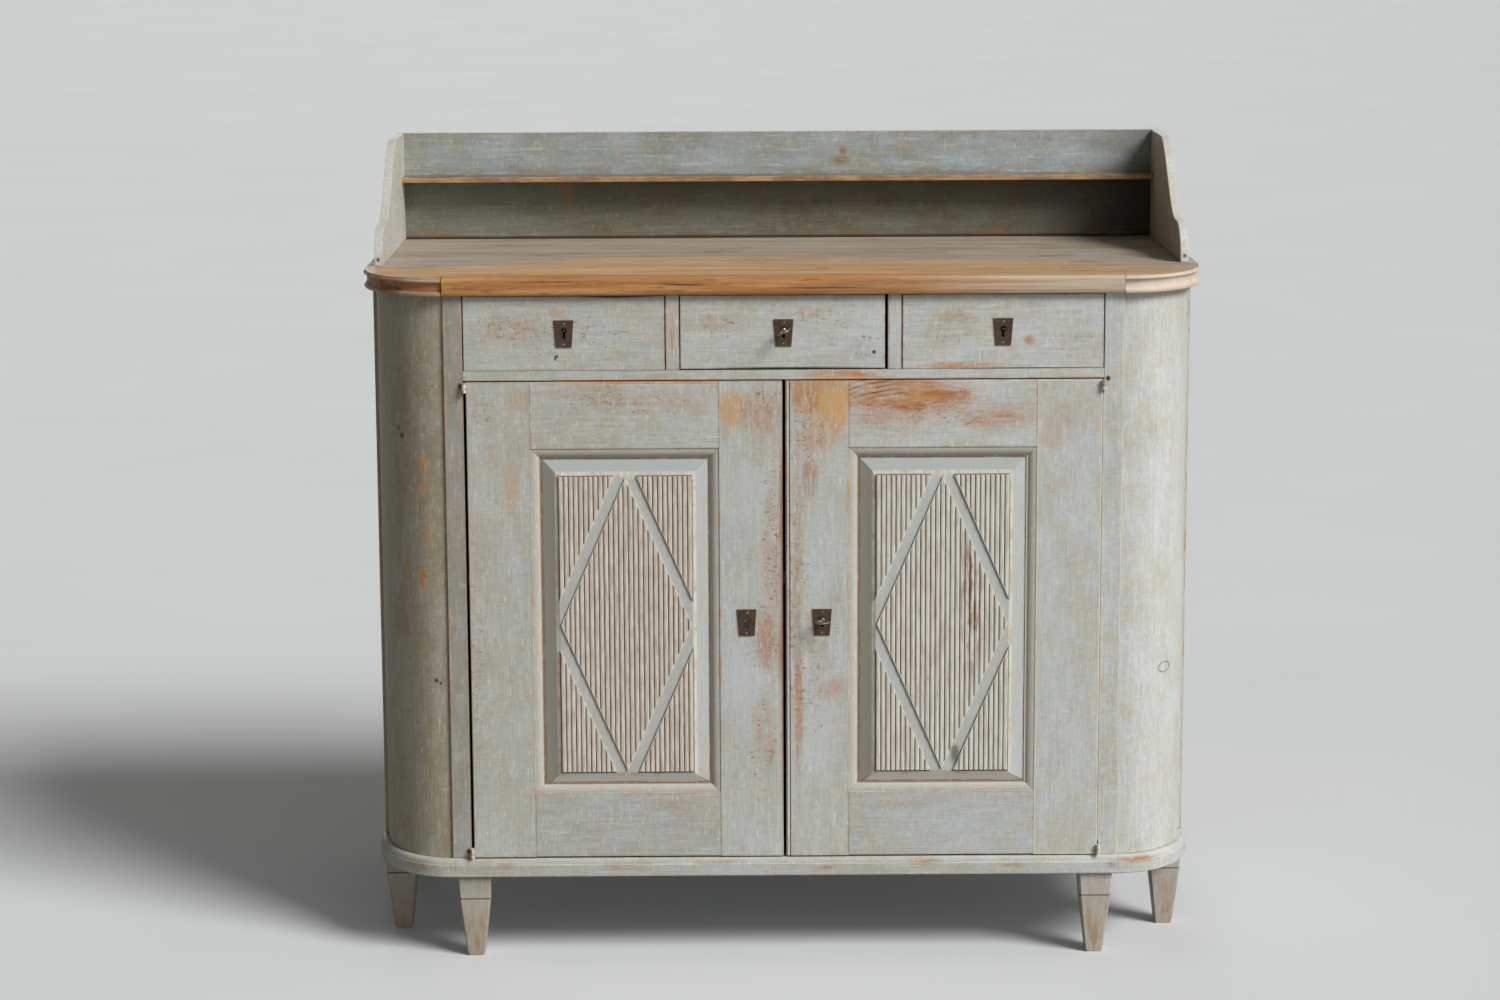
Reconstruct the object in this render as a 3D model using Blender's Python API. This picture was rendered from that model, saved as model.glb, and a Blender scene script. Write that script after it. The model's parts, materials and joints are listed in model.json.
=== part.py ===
# Painted pine buffet cabinet with a gallery, three drawers and two framed doors.
# Metres, +Z up, the front faces -Y, the origin is on the floor under the middle.

import bpy
import bmesh
from math import cos, sin, pi, radians, sqrt

for old in list(bpy.data.objects):
    bpy.data.objects.remove(old, do_unlink=True)

# Overall sizes. Depths are measured back from the front face of the stiles.
TOP_WIDTH = 1.200
HEIGHT = 1.152
GALLERY_HEIGHT = 0.163
BODY_DEPTH = 0.539
CORNER_WIDTH = 0.122
CORNER_DEPTH = 0.137
KEY_REACH = 0.034

# Top, base and legs.
TOP_THICK = 0.025
TOP_OVERHANG = 0.012
BASE_THICK = 0.027
BASE_OVERHANG = 0.006
BASE_FACE = 0.0175
BASE_STEP = 0.001
BASE_ROUND = 0.006
LEG_HEIGHT = 0.1225
LEG_TOP = 0.048
LEG_FOOT = 0.0255
LEG_SCORE = 0.088
LEG_SCORE_DEPTH = 0.0017
LEG_BLOCK_TAPER = 0.0035
LEG_CHAMFER = 0.0022
FOOT_CHAMFER = 0.003
LEG_TENON = 0.022
LEG_TENON_LENGTH = 0.018
FRONT_LEG_INSET = 0.030
SIDE_LEG_PROUD = 0.0015
BACK_LEG_INSET = 0.002

# Walls of the case.
STILE_WIDTH = 0.027
STILE_THICK = 0.030
CORNER_STEP = 0.004
CORNER_THICK = 0.016
SIDE_THICK = 0.022
SIDE_PROUD = 0.006
BACK_THICK = 0.015
DADO = 0.006

# Drawers.
DRAWER_OPENING = 0.107
DECK_THICK = 0.0135
DIVIDER_WIDTH = 0.019
CENTRE_OPENING = 0.293
DRAWER_FRONT = 0.022
DRAWER_LAP = 0.010
DRAWER_BOX_DEPTH = 0.430
DRAWER_WALL = 0.011
DRAWER_FLOOR = 0.008
DRAWER_PLAY = 0.0015
CENTRE_DRAWER_PLAY = 0.0042
CENTRE_DRAWER_LIFT = 0.0015
DRAWER_BOX_INSET = 0.001
DRAWER_BOX_DROP = 0.012
FLOOR_RISE = 0.005
FLOOR_TONGUE = 0.002
GUIDE_WIDTH = 0.020
GUIDE_HEIGHT = 0.022
GUIDE_SHORT = 0.020

# Doors.
DOOR_THICK = 0.024
DOOR_PROUD = 0.003
ARRIS = 0.002
LEFT_HINGE_GAP = 0.004
RIGHT_HINGE_GAP = 0.002
MEETING_GAP = 0.004
DOOR_TOP_GAP = 0.002
DOOR_BOTTOM_GAP = 0.002
DOOR_STILE = 0.0895
TOP_RAIL = 0.095
BOTTOM_RAIL = 0.094
STICKING = 0.0145
LIP = 0.0095
GROOVE = 0.007
GROOVE_DEPTH = 0.010
RAIL_TENON = 0.030
TENON_SHOULDER = 0.018
TENON_PLAY = 0.001
BEAD = 0.0055
BEAD_QUIRK = 0.0012
DOOR_STOP_PLAY = 0.001

# Door panels: a raised field with reeds, crossed by a sunk lozenge band.
FIELD_INSET = 0.0385
FIELD_LOW_INSET = 0.0307
FIELD_PROUD = 0.0024
FIELD_CHAMFER = 0.0055
FIELD_CHAMFER_RISE = 0.004
REED_COUNT = 27
REED_DEPTH = 0.0025
BAND_WIDTH = 0.0155
BAND_TIP = 0.004
PANEL_PLAY = 0.0006

# Inside shelf and gallery.
SHELF_ABOVE_LOCK = 0.025
SHELF_THICK = 0.018
GALLERY_THICK = 0.012
GALLERY_INSET = 0.0135
GALLERY_FRONT = 0.148
GALLERY_NOSE = 0.055
GALLERY_NOSE_DEPTH = 0.057
GALLERY_RISE = 0.222
GALLERY_TOP_FRONT = 0.410
GALLERY_SHELF_DROP = 0.0643
GALLERY_SHELF_THICK = 0.008
GALLERY_SHELF_DEPTH = 0.0445

# Iron work.
PLATE_TOP = 0.028
PLATE_BOTTOM = 0.022
PLATE_HEIGHT = 0.0385
PLATE_THICK = 0.0012
DRAWER_PLATE_DROP = 0.0545
DOOR_PLATE_DROP = 0.0015
DOOR_PLATE_INSET = 0.0515
KEY_ABOVE = 0.004
KEYHOLE = 0.0036
SLOT_WIDTH = 0.0034
SLOT_LENGTH = 0.0124
SHANK = 0.0026
BIT_LENGTH = 0.0116
BIT_THICK = 0.0024
BOW = 0.0105
BOW_HOLE = 0.0066
BOW_THICK = 0.003
COLLAR = 0.0014
DRAWER_KEY_TILT = 26.0
LOCK_DEPTH = 0.012
LOCK_WIDTH = 0.050
LOCK_FLOOR = 0.0022
LOCK_BELOW_KEY = 0.018
LOCK_DROP = 0.012
LOCK_PIN = 0.0013
LOCK_PIN_START = 0.008
DOOR_LOCK_HALF = 0.021
DOOR_LOCK_INSET = 0.0015
BOLT_WIDTH = 0.016
BOLT_THICK = 0.005
BOLT_THROW = 0.008
BOLT_PLAY = 0.002
BOLT_FRONT = 0.004
BOLT_SHORT = 0.001
KNUCKLE = 0.0032
KNUCKLE_HEIGHT = 0.007
PIN = 0.0015
PIN_PROUD = 0.0035
HINGE_TAIL = 0.020
HINGE_PLATE = 0.0013
HINGE_INSET = 0.0072

# Clearance between pieces that touch, how far cutters run past what they cut,
# how deep a joined lump starts inside its piece, and steps on round edges.
GAP = 0.0003
OVERCUT = 0.010
SINK = 0.003
CURVE_STEPS = 10
ROUND_STEPS = 12

# Levels and planes that follow from the sizes above.
FRONT_Y = (KEY_REACH - BODY_DEPTH) / 2
WORKTOP = HEIGHT - GALLERY_HEIGHT
TOP_UNDER = WORKTOP - TOP_THICK
BASE_TOP = LEG_HEIGHT + BASE_THICK
CASE_LOW = BASE_TOP + GAP
CASE_HIGH = TOP_UNDER - GAP
HALF_FLAT = TOP_WIDTH / 2 - CORNER_WIDTH
HALF_CASE = TOP_WIDTH / 2 - TOP_OVERHANG
STILE_IN = HALF_FLAT - STILE_WIDTH
SIDE_IN = HALF_CASE - SIDE_THICK
BACK_IN = BODY_DEPTH - BACK_THICK
DECK_TOP = TOP_UNDER - DRAWER_OPENING
DECK_UNDER = DECK_TOP - DECK_THICK
DOOR_LOW = BASE_TOP + DOOR_BOTTOM_GAP
DOOR_HIGH = DECK_UNDER - DOOR_TOP_GAP
DOOR_IN = MEETING_GAP / 2
DOOR_BEHIND = DOOR_THICK - DOOR_PROUD
HINGE_GAPS = {-1: LEFT_HINGE_GAP, 1: RIGHT_HINGE_GAP}
DOOR_OUT = {side: STILE_IN - gap for side, gap in HINGE_GAPS.items()}
HINGE_X = {side: STILE_IN - gap * 0.45 for side, gap in HINGE_GAPS.items()}
PIN_DEPTH = -DOOR_PROUD - PIN_PROUD
OPEN_LOW = DOOR_LOW + BOTTOM_RAIL
OPEN_HIGH = DOOR_HIGH - TOP_RAIL
OPEN_OUT = STILE_IN - LEFT_HINGE_GAP - DOOR_STILE
OPEN_IN = DOOR_IN + DOOR_STILE
DRAWER_PLATE_Z = TOP_UNDER - DRAWER_PLATE_DROP
DOOR_PLATE_Z = (DOOR_LOW + DOOR_HIGH) / 2 - DOOR_PLATE_DROP
DOOR_PLATE_X = DOOR_IN + DOOR_PLATE_INSET
DRAWER_KEY_Z = DRAWER_PLATE_Z + KEY_ABOVE
DOOR_KEY_Z = DOOR_PLATE_Z + KEY_ABOVE
SHELF_UNDER = DOOR_KEY_Z + DOOR_LOCK_HALF + SHELF_ABOVE_LOCK
OUTER_DRAWER_X = (CENTRE_OPENING / 2 + DIVIDER_WIDTH + STILE_IN) / 2
BIT_ROOM = BIT_LENGTH + 0.001
BOLT_BACK = BOLT_FRONT + BOLT_THICK

# Colour, roughness and metallic value of each kind of surface.
FINISHES = {
    "paint": ((0.40, 0.41, 0.35, 1.0), 0.72, 0.0),
    "pine": ((0.50, 0.30, 0.15, 1.0), 0.68, 0.0),
    "iron": ((0.09, 0.055, 0.035, 1.0), 0.62, 0.8),
    "steel": ((0.36, 0.34, 0.31, 1.0), 0.42, 1.0),
}


def at(x, depth, z):
    """A point given by its depth behind the front face."""
    return (x, FRONT_Y + depth, z)


def material(name, kind):
    """One Principled material for one piece."""
    colour, rough, metal = FINISHES[kind]
    made = bpy.data.materials.new(name)
    made.use_nodes = True
    shader = made.node_tree.nodes["Principled BSDF"]
    shader.inputs["Base Color"].default_value = colour
    shader.inputs["Roughness"].default_value = rough
    shader.inputs["Metallic"].default_value = metal
    return made


def piece(bm, name, kind, pivot=(0.0, 0.0, 0.0)):
    """Turn a bmesh into a named object whose origin is at the pivot."""
    bmesh.ops.remove_doubles(bm, verts=bm.verts, dist=0.000001)
    bmesh.ops.recalc_face_normals(bm, faces=bm.faces)
    bmesh.ops.translate(bm, vec=[-c for c in pivot], verts=bm.verts)
    mesh = bpy.data.meshes.new(name)
    bm.to_mesh(mesh)
    bm.free()
    made = bpy.data.objects.new(name, mesh)
    made.location = pivot
    bpy.context.scene.collection.objects.link(made)
    if kind:
        mesh.materials.append(material(name, kind))
    else:
        made.hide_render = True
        made.display_type = "WIRE"
    return made


def combine(target, tool, operation):
    """Cut the target with the tool, or join the tool to it."""
    change = target.modifiers.new(tool.name, "BOOLEAN")
    change.object = tool
    change.operation = operation
    change.solver = "EXACT"


def prism(points, vector, into=None):
    """An outline drawn as one face and extruded along a vector."""
    bm = into or bmesh.new()
    face = bm.faces.new([bm.verts.new(p) for p in points])
    made = bmesh.ops.extrude_face_region(bm, geom=[face])["geom"]
    moved = [g for g in made if isinstance(g, bmesh.types.BMVert)]
    bmesh.ops.translate(bm, vec=vector, verts=moved)
    return bm


def block(x0, x1, d0, d1, z0, z1, into=None):
    """A rectangular board between two corners."""
    low = [at(x0, d0, z0), at(x1, d0, z0), at(x1, d1, z0), at(x0, d1, z0)]
    return prism(low, (0.0, 0.0, z1 - z0), into)


def loft(rings, into=None):
    """Rings of equal count joined by quads, with both ends closed."""
    bm = into or bmesh.new()
    loops = [[bm.verts.new(p) for p in ring] for ring in rings]
    count = len(loops[0])
    for low, high in zip(loops, loops[1:]):
        for i in range(count):
            j = (i + 1) % count
            bm.faces.new((low[i], low[j], high[j], high[i]))
    bm.faces.new(loops[0])
    bm.faces.new(loops[-1])
    return bm


def quarter(half_x, half_d, steps=CURVE_STEPS):
    """Quarter of an ellipse from the side round to the front."""
    turns = [0.5 * pi * k / steps for k in range(steps + 1)]
    return [(half_x * cos(t), half_d * sin(t)) for t in turns]


def case_ring(half_width, overhang, z, corner_in, front_in):
    """Outline of the top or the base at one level, set in by two offsets."""
    reach = half_width - HALF_FLAT - corner_in
    depth = CORNER_DEPTH + overhang - corner_in
    bend = quarter(reach, depth)
    left = [at(-HALF_FLAT - x, CORNER_DEPTH - d, z) for x, d in bend]
    right = [at(HALF_FLAT + x, CORNER_DEPTH - d, z) for x, d in bend]
    joint = HALF_FLAT - 2 * GAP
    front = [at(-joint, front_in - overhang, z), at(joint, front_in - overhang, z)]
    side = HALF_FLAT + reach
    ends = [at(side, BODY_DEPTH, z), at(-side, BODY_DEPTH, z)]
    return left + front + right[::-1] + ends


def keyhole(name, x, key_z, d0, d1):
    """Cutter with the outline of a keyhole: a round with a slot under it."""
    half = SLOT_WIDTH / 2
    start = -sqrt(KEYHOLE ** 2 - half ** 2)
    first = radians(-90) + 0.49
    last = radians(270) - 0.49
    steps = ROUND_STEPS
    turns = [first + (last - first) * k / steps for k in range(1, steps)]
    outline = [(half, start)]
    outline += [(KEYHOLE * cos(t), KEYHOLE * sin(t)) for t in turns]
    outline += [(-half, start), (-half, -SLOT_LENGTH), (half, -SLOT_LENGTH)]
    points = [at(x + u, d0, key_z + v) for u, v in outline]
    return piece(prism(points, (0.0, d1 - d0, 0.0)), name, None)


def circle(radius, steps=ROUND_STEPS):
    """Points round a circle."""
    turns = [2 * pi * k / steps for k in range(steps)]
    return [(radius * cos(t), radius * sin(t)) for t in turns]


# Top board: plain rounded front edge, and a hollow between two fillets round
# the corners. Each level is a drop below the surface, an offset round the corners
# and an offset along the front, all as shares of the board's thickness.
top_profile = [
    (0.000, 0.080, 0.100), (0.080, 0.080, 0.032), (0.108, 0.008, 0.016),
    (0.200, 0.000, 0.000), (0.224, 0.088, 0.000), (0.360, 0.176, 0.000),
    (0.560, 0.208, 0.008), (0.760, 0.160, 0.024), (0.832, 0.048, 0.040),
    (0.940, 0.048, 0.088), (1.000, 0.080, 0.176),
]
rings = []
for shares in top_profile:
    drop, corner_in, front_in = [share * TOP_THICK for share in shares]
    rings.append(case_ring(TOP_WIDTH / 2, TOP_OVERHANG, WORKTOP - drop, corner_in, front_in))
top_board = piece(loft(rings), "top_board", "paint")

# Slots in the underside of the top for the three drawer bolts.
bolt_slots = bmesh.new()
for x in (-OUTER_DRAWER_X, 0.0, OUTER_DRAWER_X):
    half = BOLT_WIDTH / 2 + BOLT_PLAY
    low = DRAWER_FRONT + GAP + BOLT_FRONT - BOLT_PLAY
    high = DRAWER_FRONT + GAP + BOLT_BACK + BOLT_PLAY
    depth = BOLT_THROW + BOLT_PLAY
    block(x - half, x + half, low, high, TOP_UNDER - OVERCUT, TOP_UNDER + depth, bolt_slots)
combine(top_board, piece(bolt_slots, "cut_bolt_slots", None), "DIFFERENCE")

# Bottom board: a flat face, and a rounded upper edge behind a small step.
base_profile = [(0.0, BASE_STEP), (BASE_STEP, 0.0), (BASE_FACE, 0.0)]
shoulder = BASE_FACE + BASE_STEP / 2
for across, up in quarter(BASE_ROUND - BASE_STEP, BASE_THICK - shoulder, 4):
    base_profile.append((shoulder + up, BASE_ROUND - across))
rings = []
for rise, inset in base_profile:
    level = LEG_HEIGHT + rise
    rings.append(case_ring(HALF_CASE + BASE_OVERHANG, BASE_OVERHANG, level, inset, inset))
bottom_board = piece(loft(rings), "bottom_board", "paint")

# Six square legs: a scored line under a short block, then a taper to the foot.
FRONT_LEG_X = HALF_FLAT - FRONT_LEG_INSET
SIDE_LEG_X = HALF_CASE + SIDE_LEG_PROUD - LEG_TOP / 2
BACK_LEG_DEPTH = BODY_DEPTH - BACK_LEG_INSET - LEG_TOP / 2
leg_places = {
    "leg_front_left": (-FRONT_LEG_X, LEG_TOP / 2),
    "leg_front_right": (FRONT_LEG_X, LEG_TOP / 2),
    "leg_side_left": (-SIDE_LEG_X, CORNER_DEPTH + LEG_TOP / 2),
    "leg_side_right": (SIDE_LEG_X, CORNER_DEPTH + LEG_TOP / 2),
    "leg_back_left": (-SIDE_LEG_X, BACK_LEG_DEPTH),
    "leg_back_right": (SIDE_LEG_X, BACK_LEG_DEPTH),
}
block_width = LEG_TOP - LEG_BLOCK_TAPER
score_half = LEG_SCORE_DEPTH * 0.6
leg_levels = [
    (0.0, LEG_FOOT - FOOT_CHAMFER), (FOOT_CHAMFER, LEG_FOOT), (LEG_SCORE - score_half, block_width),
    (LEG_SCORE, block_width - 2 * LEG_SCORE_DEPTH), (LEG_SCORE + score_half, block_width),
    (LEG_HEIGHT - GAP, LEG_TOP), (LEG_HEIGHT - GAP, LEG_TENON),
    (LEG_HEIGHT + LEG_TENON_LENGTH, LEG_TENON - GAP),
]
leg_sockets = bmesh.new()
for name, (x, depth) in leg_places.items():
    rings = []
    for z, width in leg_levels:
        half = width / 2
        inner = half - LEG_CHAMFER
        corners = [(half, inner), (inner, half), (-inner, half), (-half, inner)]
        corners += [(-u, -v) for u, v in corners]
        rings.append([at(x + u, depth + v, z) for u, v in corners])
    piece(loft(rings), name, "paint")
    half = LEG_TENON / 2 + GAP
    top = LEG_HEIGHT + LEG_TENON_LENGTH + GAP
    block(x - half, x + half, depth - half, depth + half, LEG_HEIGHT - OVERCUT, top, leg_sockets)
combine(bottom_board, piece(leg_sockets, "cut_leg_sockets", None), "DIFFERENCE")

# Walls of the case, left and right.
for label, side in (("left", -1), ("right", 1)):
    inner, outer = sorted((side * STILE_IN, side * HALF_FLAT))
    stile = block(inner, outer, 0.0, STILE_THICK, CASE_LOW, CASE_HIGH)
    piece(stile, "front_stile_" + label, "paint")

    start = HALF_FLAT + GAP
    reach = HALF_CASE - SIDE_PROUD - start
    depth = CORNER_DEPTH - CORNER_STEP
    bend = quarter(reach, depth)
    inside = quarter(reach - CORNER_THICK, depth - CORNER_THICK)
    outline = [(start + x, CORNER_DEPTH - d) for x, d in bend + inside[::-1]]
    points = [at(side * x, d, CASE_LOW) for x, d in outline]
    shell = prism(points, (0.0, 0.0, CASE_HIGH - CASE_LOW))
    piece(shell, "corner_panel_" + label, "paint")

    # The flat side is grooved for the drawer deck and the cupboard shelf.
    low, high = SHELF_UNDER - GAP, SHELF_UNDER + SHELF_THICK + GAP
    low_2, high_2 = DECK_UNDER - GAP, DECK_TOP + GAP
    notch = SIDE_IN + DADO
    outline = [
        (HALF_CASE, CASE_LOW), (HALF_CASE, CASE_HIGH), (SIDE_IN, CASE_HIGH),
        (SIDE_IN, high_2), (notch, high_2), (notch, low_2), (SIDE_IN, low_2),
        (SIDE_IN, high), (notch, high), (notch, low), (SIDE_IN, low), (SIDE_IN, CASE_LOW),
    ]
    points = [at(side * x, CORNER_DEPTH + GAP, z) for x, z in outline]
    board = prism(points, (0.0, BACK_IN - CORNER_DEPTH - 2 * GAP, 0.0))
    piece(board, "side_board_" + label, "paint")

back = block(-HALF_CASE, HALF_CASE, BACK_IN, BODY_DEPTH, CASE_LOW, CASE_HIGH)
piece(back, "back_panel", "pine")


def inner_board(front, z0, z1):
    """A board that fills the case, shaped round the stiles and the corners."""
    start = HALF_FLAT + GAP
    reach = HALF_CASE - SIDE_PROUD - start - CORNER_THICK - 2 * GAP
    depth = CORNER_DEPTH - CORNER_STEP - CORNER_THICK - 2 * GAP
    behind = STILE_THICK + GAP
    bend = [(start + x, CORNER_DEPTH - d) for x, d in quarter(reach, depth)]
    bend = [p for p in bend if p[1] > behind + 0.004]
    turn = start + reach * sqrt(1 - ((CORNER_DEPTH - behind) / depth) ** 2)
    tongue = SIDE_IN + DADO - GAP
    half = [(tongue, BACK_IN - GAP), (tongue, CORNER_DEPTH + 2 * GAP)]
    half += [(bend[0][0], CORNER_DEPTH + 2 * GAP)] + bend
    half += [(turn, behind), (STILE_IN - GAP, behind), (STILE_IN - GAP, front)]
    outline = half + [(-x, d) for x, d in half[::-1]]
    return prism([at(x, d, z0) for x, d in outline], (0.0, 0.0, z1 - z0))


# Drawer deck, whose front edge is the rail under the drawers.
deck = piece(inner_board(0.0, DECK_UNDER, DECK_TOP), "drawer_deck", "pine")
for label, side in (("left", -1), ("right", 1)):
    inner, outer = sorted((side * STILE_IN, side * (STILE_IN + GUIDE_WIDTH)))
    rear = BACK_IN - GUIDE_SHORT
    strip = block(inner, outer, STILE_THICK + GAP, rear, DECK_TOP - SINK, DECK_TOP + GUIDE_HEIGHT)
    combine(deck, piece(strip, "add_guide_" + label, None), "UNION")

# Cupboard shelf: its front edge stops the doors.
shelf = inner_board(DOOR_BEHIND + DOOR_STOP_PLAY, SHELF_UNDER, SHELF_UNDER + SHELF_THICK)
piece(shelf, "cupboard_shelf", "pine")

# Upright dividers between the drawers.
for label, side in (("left", -1), ("right", 1)):
    near = CENTRE_OPENING / 2
    inner, outer = sorted((side * near, side * (near + DIVIDER_WIDTH)))
    rear = BACK_IN - GUIDE_SHORT
    divider = block(inner, outer, 0.0, rear, DECK_TOP + GAP, CASE_HIGH)
    piece(divider, "drawer_divider_" + label, "paint")

# Gallery: a back board, two ogee sides and a narrow shelf.
GALLERY_LOW = WORKTOP + GAP
GALLERY_HALF = TOP_WIDTH / 2 - GALLERY_INSET
GALLERY_SHELF_TOP = HEIGHT - GALLERY_SHELF_DROP
gallery_in = GALLERY_HALF - GALLERY_THICK
back = block(-GALLERY_HALF, GALLERY_HALF, BACK_IN, BODY_DEPTH, GALLERY_LOW, HEIGHT)
piece(back, "gallery_back", "paint")
outline = [(BACK_IN - GAP, GALLERY_LOW)]
for x, z in quarter(GALLERY_NOSE_DEPTH, GALLERY_NOSE, 6):
    outline.append((GALLERY_FRONT + GALLERY_NOSE_DEPTH - x, GALLERY_LOW + z))
crest = GALLERY_LOW + GALLERY_NOSE
for k in range(13):
    t = k / 12
    blend = t * t * (3 - 2 * t)
    depth = GALLERY_RISE + (GALLERY_TOP_FRONT - GALLERY_RISE) * t
    outline.append((depth, crest + (HEIGHT - crest) * blend))
outline.append((BACK_IN - GAP, HEIGHT))
for label, side in (("left", -1), ("right", 1)):
    points = [at(side * gallery_in, d, z) for d, z in outline]
    piece(prism(points, (side * GALLERY_THICK, 0.0, 0.0)), "gallery_side_" + label, "paint")
reach = gallery_in - GAP
front = BACK_IN - GALLERY_SHELF_DEPTH
low = GALLERY_SHELF_TOP - GALLERY_SHELF_THICK
board = block(-reach, reach, front, BACK_IN - GAP, low, GALLERY_SHELF_TOP)
piece(board, "gallery_shelf", "paint")


def key_plate(name, x, face, centre_z, pivot):
    """A keyhole plate, wider at the top than at the bottom, on a face at one depth."""
    high = centre_z + PLATE_HEIGHT / 2
    low = centre_z - PLATE_HEIGHT / 2
    corners = [(PLATE_BOTTOM / 2, low), (PLATE_TOP / 2, high)]
    corners += [(-PLATE_TOP / 2, high), (-PLATE_BOTTOM / 2, low)]
    points = [at(x + u, face - GAP, z) for u, z in corners]
    return piece(prism(points, (0.0, -PLATE_THICK, 0.0)), name, "iron", pivot)


def key(name, x, key_z, face, tilt):
    """A key lying along the depth, with its bow and bit at one tilt."""
    def turned(u, depth, v):
        return at(x + u * cos(tilt) - v * sin(tilt), depth, key_z + u * sin(tilt) + v * cos(tilt))

    bow_at = BOW - KEY_REACH
    tip = face + LOCK_DEPTH - LOCK_FLOOR - GAP
    neck = bow_at + (BOW + BOW_HOLE) / 2
    collar = bow_at + BOW + 3 * COLLAR
    levels = [(neck, SHANK), (collar - COLLAR, SHANK), (collar - COLLAR / 2, SHANK + COLLAR)]
    levels += [(collar + COLLAR / 2, SHANK + COLLAR), (collar + COLLAR, SHANK), (tip, SHANK)]
    rings = [[turned(u, d, v) for u, v in circle(r)] for d, r in levels]
    made = piece(loft(rings), name, "steel", at(x, 0.0, key_z))

    ring = bmesh.new()
    half = BOW_THICK / 2
    shapes = [(BOW, -half), (BOW, half), (BOW_HOLE, half), (BOW_HOLE, -half)]
    loops = []
    for radius, v in shapes:
        points = circle(radius, 16)
        loops.append([ring.verts.new(turned(a, bow_at + b, v)) for a, b in points])
    for low, high in zip(loops, loops[1:] + loops[:1]):
        for i in range(16):
            j = (i + 1) % 16
            ring.faces.new((low[i], low[j], high[j], high[i]))
    combine(made, piece(ring, "add_bow_" + name, None), "UNION")

    outline = [(0.0, -BIT_THICK / 2), (-BIT_LENGTH, -BIT_THICK / 2)]
    outline += [(-BIT_LENGTH, BIT_THICK / 2), (0.0, BIT_THICK / 2)]
    points = [turned(u, face + LOCK_FLOOR + 3 * GAP, v) for u, v in outline]
    flag = prism(points, (0.0, LOCK_DEPTH - 2 * LOCK_FLOOR - 6 * GAP, 0.0))
    combine(made, piece(flag, "add_bit_" + name, None), "UNION")
    return made


def bit_room(name, x, key_z, face, into=None):
    """Round room inside a lock in which the bit of the key turns."""
    bm = into or bmesh.new()
    low = [at(x + u, face + LOCK_FLOOR, key_z + v) for u, v in circle(BIT_ROOM, 16)]
    prism(low, (0.0, LOCK_DEPTH - 2 * LOCK_FLOOR, 0.0), bm)
    return bm if into else piece(bm, name, None)


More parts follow.
